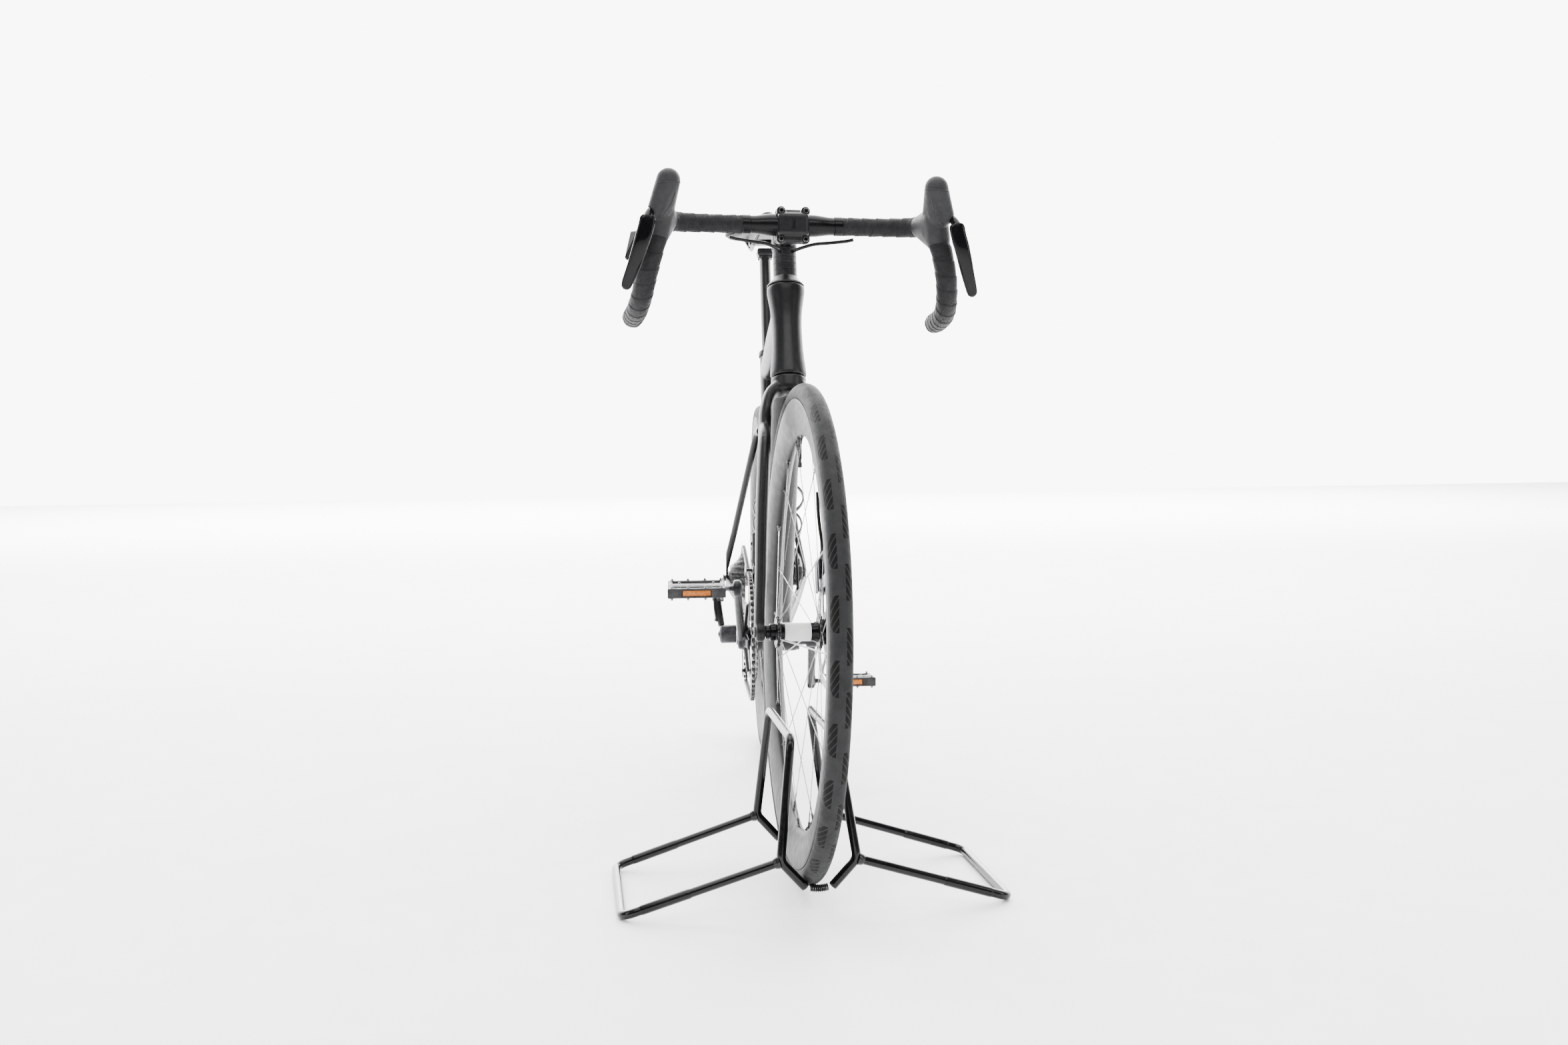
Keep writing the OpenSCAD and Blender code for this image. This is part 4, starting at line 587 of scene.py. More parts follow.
def caliper(m, c, s, ang, yi, yo, bridge, fwd):
    R_ = [([0, 1, 0], ang)]
    P = lambda x, y, z: np.array([c[0], 0, c[2]]) + rotv([x, 0, z], [0, 1, 0], math.radians(ang))[0] + np.array([0, y, 0])
    m.add(*rbox(P(0, sum(yo) / 2, 0), [s[0] - 2, yo[1] - yo[0], s[2] - 2], 4.5, rot=R_, k=4)); m.add(*rbox(P(0, sum(yi) / 2, 0), [s[0] - 5, yi[1] - yi[0], s[2] - 6], 1.8, rot=R_))
    m.add(*rbox(P(*bridge[0]), bridge[1], 1.6, rot=R_))
    L = max(s[0], s[2]); ax = (1, 0) if s[0] >= s[2] else (0, 1)
    for t in (-0.36, 0.36):
        p = P(ax[0] * L * t, yo[1] - 0.6, ax[1] * L * t); m.add(*hexbolt(p, [0, 1, 0], 3.9, 2.2))
    p = P(0, yo[1] - 0.8, 0); m.add(*lathe([(0.01, 0), (9.5, 0), (9.5, 1.2), (8.2, 2.0), (5, 2.0), (4.6, 1.2), (0.01, 1.2)], 40, off=p))
    p = P(ax[0] * L * fwd, (yo[0] + yo[1]) / 2, ax[1] * L * fwd); return P
m = M(); caliper(m, [66, 57, 362], [62, 25, 30], 20, (44.8, 48.5), (53.5, 69.3), ((4, 51, 18.5), [24, 10, 5]), 0.3)
m.add(*rbox([68, 59, 379], [34, 13, 13], 3.5, rot=[([0, 1, 0], 20)])); m.add(*rod([71, 57, 384], [72, 57, 392], 4.2, 20))
make("rear_caliper_v", m, toB, "frame", "black_alloy", ("rear_caliper",), smooth=35)
m = M(); m.add(*ptube(crv([[72, 57, 391], [96, 56, 399], [117, 57, 368], [126, 57.5, 323]], 14), 2.5, 14)); m.add(*ptube(np.array([[72, 57, 391], [74.5, 57, 392], [78, 56.8, 394]]), 3.4, 14))
make("rear_hose_v", m, toB, "frame", "hose", ("rear_hose",), smooth=50)
# bottle cage
CG = BBP + DTD * 179 + DTN * 25.6; AG = math.pi / 2 - math.asin(DTD[2])
def toCG(p): return toB(rotv(A(p), [0, 1, 0], AG) + CG)
m = M(); m.add(*rbox([-1.6, 0, 57], [2.8, 21, 121], 1.3))
for z in (46, 111): m.add(*along([-3.0, 0, z], [-1, 0, 0], [(0.01, 0), (4.5, 0), (4.3, 2.0), (2.4, 2.4), (2.0, 1.0), (0.01, 1.0)], 28))
def band(a0, a1, z0, z1, h, r=40.2, tk=1.5, n=40):
    ang = np.radians(np.linspace(a0, a1, n)); P = np.stack([-42.4 + r * np.cos(ang), r * np.sin(ang), np.linspace(z0, z1, n)], 1)
    return tube(P, [(0, tk * 0.7), (0.05, tk), (0.95, tk), (1, tk * 0.7)], [(0, h * 0.6), (0.06, h), (0.9, h * 0.8), (1, h * 0.45)], n=16, side=(P - np.array([-42.4, 0, 0])) * [1, 1, 0], e=3)
m.add(*band(0, 130, 92.5, 92.5, 4.3)); m.add(*band(0, -130, 66.5, 66.5, 4.3)); m.add(*band(-146, 146, 30, 30, 3.8))
m.add(*rbox([-31, 0, -2.5], [60, 27, 2.8], 1.2)); m.add(*rbox([-60.5, 0, 3], [2.8, 27, 13], 1.2))
for s in (-1, 1): m.add(*tube(np.array([[-2, s * 9.5, 0], [-2, s * 9.5, 14], [-3, s * 10, 26]]), 1.6, 2.2, n=10))
make("bottle_cage_v", m, toCG, "frame", "cage_alloy", ("bottle_cage",), smooth=45)
# front derailleur
m = M()
m.add(*rbox([392, -32, 418], [30, 13.5, 58], 5, rot=[([0, 1, 0], -10)], k=4)); m.add(*rbox(onseat(150) + [0, -19.6, 0], [14, 9.8, 20], 2.6)); m.add(*rbox([397, -36.5, 408], [12, 7, 40], 2.6, rot=[([0, 1, 0], -18)])); m.add(*rbox([381, -36.5, 404], [8, 7, 30], 2.6, rot=[([0, 1, 0], -18)]))
for p in ([396, -39, 428], [388, -39, 398], [381, -39, 418]): m.add(*hexbolt(np.array(p, float) + [0, 0.4, 0], [0, -1, 0], 3.2, 2.4))
for yy, t in ((-50.3, 1.2), (-37.9, 1.2)):
    an = np.radians(np.linspace(79, 116, 26)); r0, r1 = 114.2, 127.0 if yy < -45 else 130.0
    out = [(BBP[0] + (r0 + (1.5 if i in (0, 25) else 0)) * math.cos(x), BBP[2] + (r0 + (1.5 if i in (0, 25) else 0)) * math.sin(x)) for i, x in enumerate(an)] + [(BBP[0] + (r1 - 3.5 * (abs(i - 12.5) / 12.5) ** 4) * math.cos(x), BBP[2] + (r1 - 3.5 * (abs(i - 12.5) / 12.5) ** 4) * math.sin(x)) for i, x in list(enumerate(an))[::-1]]
    m.add(*poly_prism(out, yy - t / 2, yy + t / 2))
an = np.radians([114.5]); m.add(*rbox([BBP[0] + 123 * math.cos(an[0]), -44.1, BBP[2] + 123 * math.sin(an[0])], [2.4, 12.6, 7], 0.8, rot=[([0, 1, 0], 25)]))
make("front_derailleur_v", m, toB, "frame", "black_alloy", ("front_derailleur",), smooth=35, bevel=0.0003)
# rear derailleur: knuckles and two parallel links
m = M()
m.add(*lathe([(0.01, -95.5), (5.5, -95.5), (6, -94.6), (11.5, -94.4), (13, -92.8), (13, -82), (12, -80.6), (0.01, -80.6)], 48, off=[-14, 0, 304])); m.add(*hexbolt([-14, -95.3, 304], [0, -1, 0], 6.2, 1.6, 3))
m.add(*lathe([(0.01, -91), (7, -91), (8, -90), (15, -89.4), (18, -86.5), (18, -58), (16.6, -55.2), (0.01, -55.2)], 56, off=[6, 0, 229])); m.add(*hexbolt([6, -90.8, 229], [0, -1, 0], 4.5, 1.8))
m.add(*tube(np.array([[-17, -92, 300], [-15, -91.5, 286], [-8, -88.5, 262], [-3, -86, 246]]), [(0, 6), (0.4, 7), (1, 6.6)], [(0, 9), (0.5, 8.4), (1, 10)], n=32, round_ends=3, e=2.6))
m.add(*tube(np.array([[-16, -99, 300], [-12, -98.5, 280], [-6, -95, 254]]), [(0, 2.6), (1, 2.6)], [(0, 6), (0.5, 5.2), (1, 6)], n=24, round_ends=2, e=2.6))
for p in ([-15, -101, 296], [-7, -97.5, 256]): m.add(*hexbolt(np.array(p, float), [0, -1, 0], 3.1, 1.8))
make("rear_derailleur_v", m, toB, "frame", "black_alloy", ("rear_derailleur",), smooth=40)

# ---------------------------------------------------------------- seat
HD = onseat(714); SH = HD + [0, 0, 11.6]
m = M(); m.add(*tube(np.linspace(onseat(300), onseat(709), 20), 10, 17, n=56, e=2.1))
v, f = rbox(HD + [0, 0, 0], [45, 29, 13.4], 4, k=4); m.add(v, f)
for s in (-1, 1): m.add(*rod(HD + [s * 15, -12, -8], HD + [s * 15, 12, -8], 4, 24)); m.add(*hexbolt(HD + [s * 15, 11.6, -8], [0, 1, 0], 3.6, 1.8)); m.add(*rod(HD + [s * 15, 0, -14], HD + [s * 15, 0, 4], 2.6, 16))
make("seatpost_v", m, toB, "seat", "frame_paint", ("seatpost",), smooth=45)
m = M()
for s in (-1, 1): m.add(*ptube(route([SH + [-95, s * 30, 22], SH + [-62, s * 22, 2], SH + [-30, s * 22, 0], SH + [42, s * 22, 0], SH + [105, s * 12, 16]], 14, 8), 3.5, 18))
m.add(*rbox(SH + [0, 0, 6.8], [39, 57, 8.4], 3, k=4))
for s in (-1, 1): m.add(*rbox(SH + [s * 0, s * 24, 4.5], [38, 9, 6], 2)); 
for s in (-1, 1): m.add(*hexbolt(SH + [0, s * 15, 10.9], [0, 0, 1], 3.8, 1.6))
make("saddle_rails_v", m, toB, "seat", "rail_steel", ("saddle_rails",), smooth=45)
SPY = np.array([[-122, 0], [-120.5, 36], [-114, 58], [-100, 68.5], [-80, 71], [-55, 65.5], [-30, 54], [0, 38.5], [40, 24.5], [90, 19], [125, 14.5], [136, 8], [140, 0]], float)
def swid(x): return float(np.interp(x, SPY[:, 0], SPY[:, 1]))
def saddle(m, k, z0, z1, crown, channel):
    nx, nt = 72, 37; xs = -121.4 + (139.2 + 121.4) * (0.5 - 0.5 * np.cos(np.linspace(0.03, np.pi - 0.03, nx))); top = []; bot = []
    for x in xs:
        w = max(swid(x), 1.2) * k; ro, bo = [], []
        for t in np.linspace(-1, 1, nt):
            tt = math.copysign(abs(t) ** 0.85, t); y = w * tt
            edge = min(1.0, (1 - abs(tt)) * w / 12.0); rd = math.sqrt(max(0, 1 - (1 - edge) ** 2))
            ex = min(1.0, min(x + 121.5, 139.5 - x) / 13.0); rx = math.sqrt(max(0, 1 - (1 - ex) ** 2))
            h = z0 + (z1 - z0) * (0.12 + 0.88 * min(rd, rx) * (rd * rx) ** 0.3)
            dip = crown * (0.9 * math.exp(-((x - 10) / 60) ** 2) + (max(0, x - 90) / 50) ** 2 * 1.4)
            h -= dip * rd
            if channel: h -= 2.6 * math.exp(-(y / 5.5) ** 2) * (1 / (1 + math.exp(-(x + 78) / 9))) * (1 / (1 + math.exp((x - 98) / 9)))
            h += channel * 0.35 * math.sin(0) 
            ro.append((x * k + 2, y, h)); bo.append((x * k + 2, y * 0.985, z0))
        top.append(np.array(ro)); bot.append(np.array(bo)[::-1])
    return loft([np.concatenate([a, b]) for a, b in zip(top, bot)])
m = M(); v, f = saddle(m, 1.0, 29.3, 46, 2.2, 1); m.add(v + SH, f)
sc = make("saddle_cover_v", m, toB, "seat", "saddle_cover", ("saddle_cover",), smooth=60, subsurf=1)
m = M(); v, f = saddle(m, 0.945, 23.6, 28.9, 0, 0); v[:, 2] = 52.6 - v[:, 2]; m.add(v + SH, f)
for s in (-1, 1): m.add(*rbox(SH + [-92, s * 30, 24.5], [16, 12, 6], 2)); m.add(*rbox(SH + [106, s * 11.5, 21.5], [18, 10, 8], 2.4))
make("saddle_shell_v", m, toB, "seat", "black_plastic", ("saddle_shell",), smooth=50)

# ---------------------------------------------------------------- fork, stem and bar
CRN = HT_BOT - HAX * 22
m = M()
m.add(*along(HT_BOT, HAX, [(0.01, -25.5), (20, -25.5), (24.2, -22.5), (25.4, -17), (25.5, -1.6), (24.8, -0.7), (17, -0.6), (15.6, 1.1), (14.3, 1.3), (14.3, 236), (0.01, 236)], 56))
for s in (-1, 1):
    p = crv(np.array([CRN + [3, s * 10, 6], CRN + [9, s * 27, -2], CRN + [20, s * 36, -26], CRN + [29, s * 38.5, -56], [913, s * 43.6, 590], [941, s * 49.6, 500], [962, s * 53, 424], [985, s * 57, 352], [991, s * 57, 339]]), 8)
    m.add(*tube(p, [(0, 9), (0.25, 9), (0.6, 9), (0.8, 8), (1, 7.4)], [(0, 15), (0.2, 16), (0.4, 17), (0.62, 15), (0.8, 13), (0.95, 11.6), (1, 11)], n=32, side=(0, 1, 0.02), e=2.15))
    m.add(*ydisc([991, s * 57, 339], 13, 13, 48, 2.0))
fo = make("fork_v", m, toF, "fork", "frame_paint", ("fork",), soften=(0.0018, 5))
cut(fo, toF, [lathe([(0.01, -80), (6.35, -80), (6.35, 80), (0.01, 80)], 32, off=FA)])
SP0 = HT_TOP + HAX * 0.5
m = M()
m.add(*along(SP0, HAX, [(14.4, 0), (27.2, 0), (27.6, 0.6), (27.2, 1.8), (24.6, 4.4), (20.8, 9.4), (18.3, 13.0), (17.8, 14), (14.4, 14)], 64, closed=True))
for i in range(4): q = 14.2 + i * 10.2; m.add(*along(SP0 + HAX * q, HAX, [(14.4, 0), (17.0, 0), (17.5, 0.5), (17.5, 9.5), (17.0, 10), (14.4, 10)], 64, closed=True))
m.add(*along(SP0 + HAX * 55, HAX, [(14.4, 0), (17.1, 0), (17.5, 0.4), (17.5, 2.4), (17.1, 2.8), (14.4, 2.8)], 64, closed=True))
make("spacers_v", m, toF, "fork", "stem_paint", ("spacers",), smooth=35)
STM = HT_TOP + HAX * 79
m = M()
m.add(*along(HT_TOP, HAX, [(0.01, 58.7), (17.8, 58.7), (18.5, 59.4), (18.5, 97.2), (17.8, 98), (0.01, 98)], 56))
m.add(*tube(np.linspace(STM + [6, 0, 0], BARC - [6, 0, 0], 12), [(0, 15), (0.4, 15), (1, 20)], [(0, 16), (0.4, 16), (1, 22)], n=40, e=2.5))
m.add(*rbox(BARC + [-7.5, 0, -1], [11.5, 48.5, 49], 4.5, k=4)); m.add(*ydisc(BARC + [0, 0, 0], 19.0, 45, 56, 1.5))
for z in (8, -8): m.add(*ydisc(STM + [-19, 0, z], 5, 25, 28, 1.0))
st = make("stem_v", m, toF, "fork", "stem_paint", ("stem",), soften=(0.0011, 3))
cut(st, toF, [along(HT_TOP, HAX, [(0.01, 46), (20, 46), (20, 58.5), (0.01, 58.5)], 40), rbox(BARC + [22.2, 0, 0], [43.2, 80, 80], 0.1), rod(BARC + [0, -40, 0], BARC + [0, 40, 0], 15.95, 48), rbox(STM + [-24, 0, 0], [16, 1.6, 60], 0.05)])
m = M(); m.add(*along(HT_TOP, HAX, [(0.01, 98.2), (17.2, 98.2), (17.5, 98.8), (17.4, 101.4), (15.6, 102.8), (6.2, 103), (5.8, 102.2), (0.01, 102.2)], 56)); m.add(*hexbolt(HT_TOP + HAX * 101.6, HAX, 5.4, 1.4, 2.6, 1.2))
for z in (8, -8):
    m.add(*hexbolt(STM + [-19, 12.2, z], [0, 1, 0], 4.1, 1.8)); m.add(*hexbolt(STM + [-19, -12.2, z], [0, -1, 0], 4.1, 1.8))
make("stem_top_cap", m, toF, "fork", "stem_paint", smooth=35)
m = M(); m.add(*rbox(BARC + [11.6, 0, -0.5], [17, 45.8, 34], 7, k=5)); m.add(*rbox(BARC + [9, 0, -7], [8, 48, 30], 3.5, k=4)); m.add(*rbox(BARC + [12, 0, -20], [9, 30, 13], 4.5, k=4))
for y in (-1, 1):
    for z in (19, -21): m.add(*along(BARC + [2, y * 17.5, z], [1, 0, 0], [(0.01, 0), (6.4, 0), (6.6, 1), (6.6, 10), (6.0, 10.9), (0.01, 10.9)], 36)); m.add(*rbox(BARC + [7.6, y * 15.5, z * 0.8], [10.6, 11, 12], 3))
fp = make("stem_faceplate_v", m, toF, "fork", "stem_paint", ("stem_faceplate",), soften=(0.0009, 4))
cut(fp, toF, [rod(BARC + [0, -40, 0], BARC + [0, 40, 0], 15.95, 56), rbox(BARC + [20.3, 0, 0], [6, 4.4, 17], 2.0), rbox(BARC + [21.0, 0, -22], [3.4, 20, 1.2], 0.4), rbox(BARC + [17.4, 0, -24.5], [3.4, 16, 1.0], 0.4), rbox(BARC + [-10, 0, 0], [25, 80, 80], 0.1)] + [rod(BARC + [12.1, y * 17.5, z], BARC + [26, y * 17.5, z], 4.7, 28) for y in (-1, 1) for z in (19, -21)])
m = M()
for y in (-1, 1):
    for z in (19, -21): q = BARC + [-9, y * 17.5, z]; m.add(*rod(q, q + [22, 0, 0], 2.35, 16)); m.add(*hexbolt(q + [22.2, 0, 0], [1, 0, 0], 4.1, 4.2, 2.1, 3.0))
make("stem_bolts_v", m, toF, "fork", "bolt_steel", ("stem_bolts",), smooth=35)
m = M(); m.add(*lathe([(10.5, -60), (12.5, -60), (12.9, -52), (14.4, -42), (15.6, -33), (15.9, -26), (15.9, 26), (15.6, 33), (14.4, 42), (12.9, 52), (12.5, 60), (10.5, 60)], 72, closed=True, off=BARC))
make("handlebar_v", m, toF, "fork", "gloss_bar", ("handlebar",), smooth=35)
def barpts(s): return np.array([[866, s * 60.3, 908], [866, s * 100, 908], [867, s * 140, 908], [874, s * 166, 908], [892, s * 181, 907], [914, s * 187, 904], [930, s * 191, 897], [941, s * 196, 880], [943, s * 202, 860], [936, s * 209, 832], [916, s * 215, 803], [884, s * 219.5, 786], [845, s * 222, 780], [803, s * 224, 778]], float)
for s, nm in ((1, "left"), (-1, "right")):
    P = resample(crv(barpts(s), 12), 0.9)
    def rf(d, a, r, s=s):
        q = (d / 20.0 + s * a / (2 * math.pi)) % 1.0; r = float(np.interp(d, [0, 70, 120, 160], [13.4, 13.5, 14.8, 15.45]))
        return r - 0.95 * q - 0.5 * max(0, 1 - q / 0.05) + 0.12 * math.sin(7 * a + d * 0.11)
    m = M(); m.add(*ptube(P, 15.45, 44, rf=rf)); m.add(*ptube(resample(crv(barpts(s), 12), 0.9)[:14], [(0, 13.3), (0.1, 13.6), (0.9, 13.6), (1, 13.3)], 40), mi=1)
    make("bar_tape_" + nm + "_v", m, toF, "fork", ["bar_tape", "gloss_bar"], ("bar_tape_" + nm,), smooth=60)
m = M()
for s in (-1, 1): m.add(*along([802.9, s * 224, 778], [-1, s * 0.06, -0.06], [(0.01, 0), (14.4, 0), (14.6, 0.8), (13.8, 2.4), (10, 3.4), (9, 2.8), (0.01, 2.8)], 48))
make("bar_plugs_v", m, toF, "fork", "black_plastic", ("bar_plugs",), smooth=40)
for s, nm in ((1, "left"), (-1, "right")):
    m = M(); bl = [([930, 190, 905], 15.5), ([958, 192, 914], 16), ([972, 199, 912], 12), ([979, 184, 948], 16.5), ([950, 188, 928], 14)]
    m.add(*hull_of([(mY(c, s)[0], r) for c, r in bl])); m.add(*hull_of([(mY(c, s)[0], r) for c, r in (([896, 182.5, 907], 16.6), ([914, 187, 904.5], 18.4), ([930, 190.5, 898], 18.6), ([941, 196, 882], 16.8), ([950, 190, 912], 17))]))
    ho = make("hood_" + nm + "_v", m, toF, "fork", "hood_rubber", ("hood_" + nm,), soften=(0.0011, 9))
    cut(ho, toF, [hull_of([(mY(c, s)[0], r) for c, r in (([973, 206, 909], 6.5), ([986, 216, 894], 7), ([980.7, 216, 890.7], 7), ([973, 222, 885], 8))], 8), rbox(mY([986, 222, 880], s)[0], [60, 24, 46], 0.2)])
    m = M()                                    # moulded seam over the top of the hood and a row of grip ribs on its inner side
    th_ = np.linspace(-0.55 * math.pi, 0.55 * math.pi, 24); m.add(*ptube(np.stack([979 + 16.75 * np.cos(th_), s * (184.6 + 16.6 * np.sin(th_)), 944 - 1.2 * np.sin(th_)], 1), 0.7, 8, up=(0, 0, 1)))
    m.add(*ptube(crv(mY([[988.5, 175.4, 930], [986, 180, 917], [980, 188, 904], [975, 196, 897]], s), 8), 0.7, 8))
    for i in range(6): t = i / 5; q = mY([938 + 30 * t, 178.6 - 3.2 * math.sin(t * 2.4), 905 + 22 * t], s)[0]; m.add(*ptube(np.array([q + [-3.4, 0, 6], q + [0, s * 0.2, 0], q + [3.4, s * 0.8, -6]]), 0.8, 6))
    make("hood_ribs_" + nm, m, toF, "fork", "hood_rubber", smooth=50)
    b = "lever_" + nm; m = M()
    m.add(*ptube(crv(mY([[973, 206, 909], [979, 209, 904], [985, 212.5, 896]], s), 6), [(0, 5.2), (1, 6.2)], 24, round_ends=3))
    p = crv(mY([[985.5, 211.5, 898.5], [986.2, 213.5, 886], [985.6, 220.3, 862], [978.5, 228.6, 836], [968.6, 237.6, 812], [965.4, 240.4, 803.4]], s), 10)
    m.add(*tube(p, [(0, 8.5), (0.08, 10.8), (0.3, 10.8), (0.55, 9.6), (0.8, 7.8), (0.93, 6.4), (1, 4.2)], [(0, 4.4), (0.12, 4.8), (0.45, 4.3), (0.8, 4.0), (0.94, 3.8), (1, 2.6)], n=36, side=(0, 1, 0.1 * s), e=2.7, round_ends=1.6))
    m.add(*rod(mY([973, 203, 909], s)[0], mY([973, 209.5, 909], s)[0], 3.2, 18))
    make("brake_lever_" + nm + "_v", m, toF, b, "lever_gloss", ("brake_lever_" + nm,), smooth=50)
    m = M(); m.add(*hull_of([(mY(c, s)[0], r) for c, r in (([963, 231, 878], 3.3), ([962, 237, 846], 4.3), ([976.3, 224, 878], 2.3))], 10))
    make("shift_paddle_" + nm + "_v", m, toF, "paddle_" + nm, "lever_gloss", ("shift_paddle_" + nm,), soften=(0.0007, 3))
m = M(); m.add(*rod([991, -64.4, 339], [991, 64.4, 339], 6, 32)); m.add(*lathe([(0.01, 63.8), (9, 63.9), (9.2, 64.6), (8.8, 67.4), (4.4, 67.9), (3.6, 66.0), (0.01, 66.0)], 40, off=[991, 0, 339])); m.add(*lathe([(0.01, -63.8), (7.5, -63.9), (7.5, -65.8), (4.4, -66.5), (3.4, -65.0), (0.01, -65.0)], 32, off=[991, 0, 339]))
make("front_axle_v", m, toF, "fork", "black_alloy", ("front_axle_unit",), smooth=35)
m = M(); caliper(m, [932.2, 40.8, 410.5], [27, 25, 52], -16, (28.6, 31.8), (37.2, 53.0), ((-4.5, 34.5, 12), [10, 7, 30]), 0.3)
m.add(*rbox([917.5, 43, 409], [13, 13, 28], 3.5, rot=[([0, 1, 0], -16)])); m.add(*rod([926.6, 38, 434], [926.8, 38, 446], 3.6, 20)); m.add(*rbox([927, 40, 434], [11, 8, 8], 2.2))
make("front_caliper_v", m, toF, "fork", "black_alloy", ("front_caliper",), smooth=35)
m = M(); m.add(*ptube(crv([[926.8, 38, 444], [925.6, 37.4, 458], [920.5, 35, 479], [914, 33.5, 503], [907, 33.4, 528]], 10), 2.5, 14))
for s in (-1, 1): m.add(*ptube(crv(mY([[860, 90, 890.6], [855, 78, 888.6], [847, 58, 887], [839, 36, 885.4], [822, 17, 881], [803, 9.5, 879]], s), 10), 2.5, 14))
make("front_hoses_v", m, toF, "fork", "hose", ("front_hoses",), smooth=60)

# ---------------------------------------------------------------- drivetrain
m = M()
m.add(*lathe([(0.01, -66.5), (16, -66.5), (19.2, -65), (20, -62), (20, -47), (14.3, -46.4), (14.3, 59), (0.01, 59)], 64))
m.add(*tube(np.linspace([0, -60, 0], [CL, -70, 0], 24), [(0, 7), (0.3, 6.8), (1, 6.6)], [(0, 15), (0.15, 13.6), (0.5, 12.6), (0.85, 12.8), (1, 13.6)], n=40, e=3.2)); m.add(*ydisc([CL, -70, 0], 13.8, 13.6, 48, 2.6))
for a in (40, 130, 220, 310):
    v, f = tube(np.array([[8, -54, 0], [20, -53, 0], [36, -51.4, 0], [50, -50, 0], [58, -49.6, 0]]), [(0, 4.4), (0.5, 3.3), (1, 2.8)], [(0, 16), (0.35, 11), (0.7, 8.6), (1, 9.5)], n=24, e=3, round_ends=2); m.add(rotv(v, [0, 1, 0], math.radians(a)), f)
m.add(*rod([CL, -68, 0], [CL, -84, 0], 4.4, 28)); 
cr_ = make("crank_right_v", m, toC, "crankset", "crank_alloy", ("crank_right",), soften=(0.0013, 4))
m = M(); m.add(*rod([CL, -83, 0], [CL, -182, 0], 4.28, 28)); m.add(*lathe([(0.01, -66), (11.5, -66.2), (12.2, -67.2), (11.4, -68.4), (5.2, -68.6), (4.8, -66.4), (0.01, -66.4)], 48)); m.add(*lathe([(4.4, -76.9), (8.2, -76.9), (8.2, -78.6), (4.4, -78.6)], 6, closed=True, off=[CL, 0, 0]))
make("crank_axle_right", m, toC, "crankset", "bearing_steel", smooth=35)
m = M()
m.add(*lathe([(14.3, 51.8), (18, 51.8), (19, 53), (19, 68), (17.4, 70), (14.3, 70)], 64, closed=True)); m.add(*tube(np.linspace([-15, 62.6, 0], [-CL, 70, 0], 24), [(0, 6.6), (1, 6.6)], [(0, 13), (0.15, 12.6), (0.5, 12), (0.85, 12.6), (1, 13.4)], n=40, e=3.2)); m.add(*ydisc([-CL, 70, 0], 13.8, 13.6, 48, 2.6))
m.add(*rod([-CL, 68, 0], [-CL, 84, 0], 4.4, 28)); m.add(*rbox([-22, 62, -13.5], [16, 12, 6], 2))
cl_ = make("crank_left_v", m, toC, "crankset", "crank_alloy", ("crank_left",), soften=(0.0013, 4))
m = M(); m.add(*rod([-CL, 83, 0], [-CL, 183, 0], 4.28, 28)); m.add(*hexbolt([-18, 62 - 3, -15.6], [0, 0, -1], 3.6, 2.0)); m.add(*lathe([(0.01, 68), (13.6, 68), (14, 69), (13, 70.2), (7, 70.4), (6.4, 69), (0.01, 69)], 40)); m.add(*lathe([(4.4, 76.9), (8.2, 76.9), (8.2, 78.6), (4.4, 78.6)], 6, closed=True, off=[-CL, 0, 0]))
make("crank_axle_left", m, toC, "crankset", "bearing_steel", smooth=35)
m = M(); n52 = 52 * 10; o52 = gear_outline(52, prad(52) + 1.9, prad(52) - 4.2)
m.add(*ringpart(o52, circ(88, n52), -44.5, -42.5, 0.45)); m.add(*ringpart(gear_outline(36, prad(36) + 1.9, prad(36) - 4.2), circ(52.5, 360), -37.1, -35.1, 0.45))
m.add(*lathe([(67, -45.1), (86.5, -45.3), (89.4, -45.0), (90, -44.3), (90, -43.0), (89, -42.6), (67, -42.6), (66, -43.2), (66, -44.4)], 160, closed=True))
for a in (40, 130, 220, 310):
    c = lambda r, y: rotv([r, y, 0], [0, 1, 0], math.radians(a))[0]
    m.add(*lathe([(0.01, -46.8), (3.4, -46.8), (3.8, -46.2), (5.9, -46.0), (6, -45.2), (6, -34.2), (0.01, -34.2)], 32, off=c(60, 0)))
    v, f = tube(np.array([[56, -43.6, 0], [60, -43.6, 0], [67, -43.6, 0], [70, -43.6, 0]]), [(0, 1.6), (1, 1.4)], [(0, 7), (0.5, 8), (1, 11)], n=20, e=4); m.add(rotv(v, [0, 1, 0], math.radians(a)), f)
for i in range(8): an = i * math.pi / 4 + 0.2; m.add(*ydisc([94.5 * math.cos(an), -42.4, 94.5 * math.sin(an)], 1.6, 1.4, 12, 0.3))
make("chainrings_v", m, toC, "crankset", "ring_alloy", ("chainrings",), smooth=30)
COG = [11, 12, 13, 14, 15, 16, 17, 19, 21, 24, 27, 30]; COGY = [-66.1 + i * 2.35 for i in range(12)]
m = M()
for i, c in enumerate(COG): m.add(*ringpart(gear_outline(c, prad(c) + 1.9, prad(c) - 4.2), circ(12.6 if i < 3 else 17.2, c * 10), COGY[i] - 0.8, COGY[i] + 0.8, 0.3))
m.add(*lathe([(6.1, -67.6), (17.1, -67.5), (17.1, -25.6), (6.1, -25.6)], 48, closed=True)); m.add(*lathe([(6.1, -70.7), (12.5, -70.7), (15, -69.6), (15, -67.7), (6.1, -67.7)], 48, closed=True))
for i in (9, 10, 11):
    for k in range(5):
        an = k * 2 * math.pi / 5 + i; r = prad(COG[i]) * 0.68; m.add(*ydisc([r * math.cos(an), COGY[i] - 0.9, r * math.sin(an)], 2.0, 0.5, 12, 0.1))
make("cassette_v", m, toRW, "cassette", "cassette_steel", ("cassette",), smooth=30)
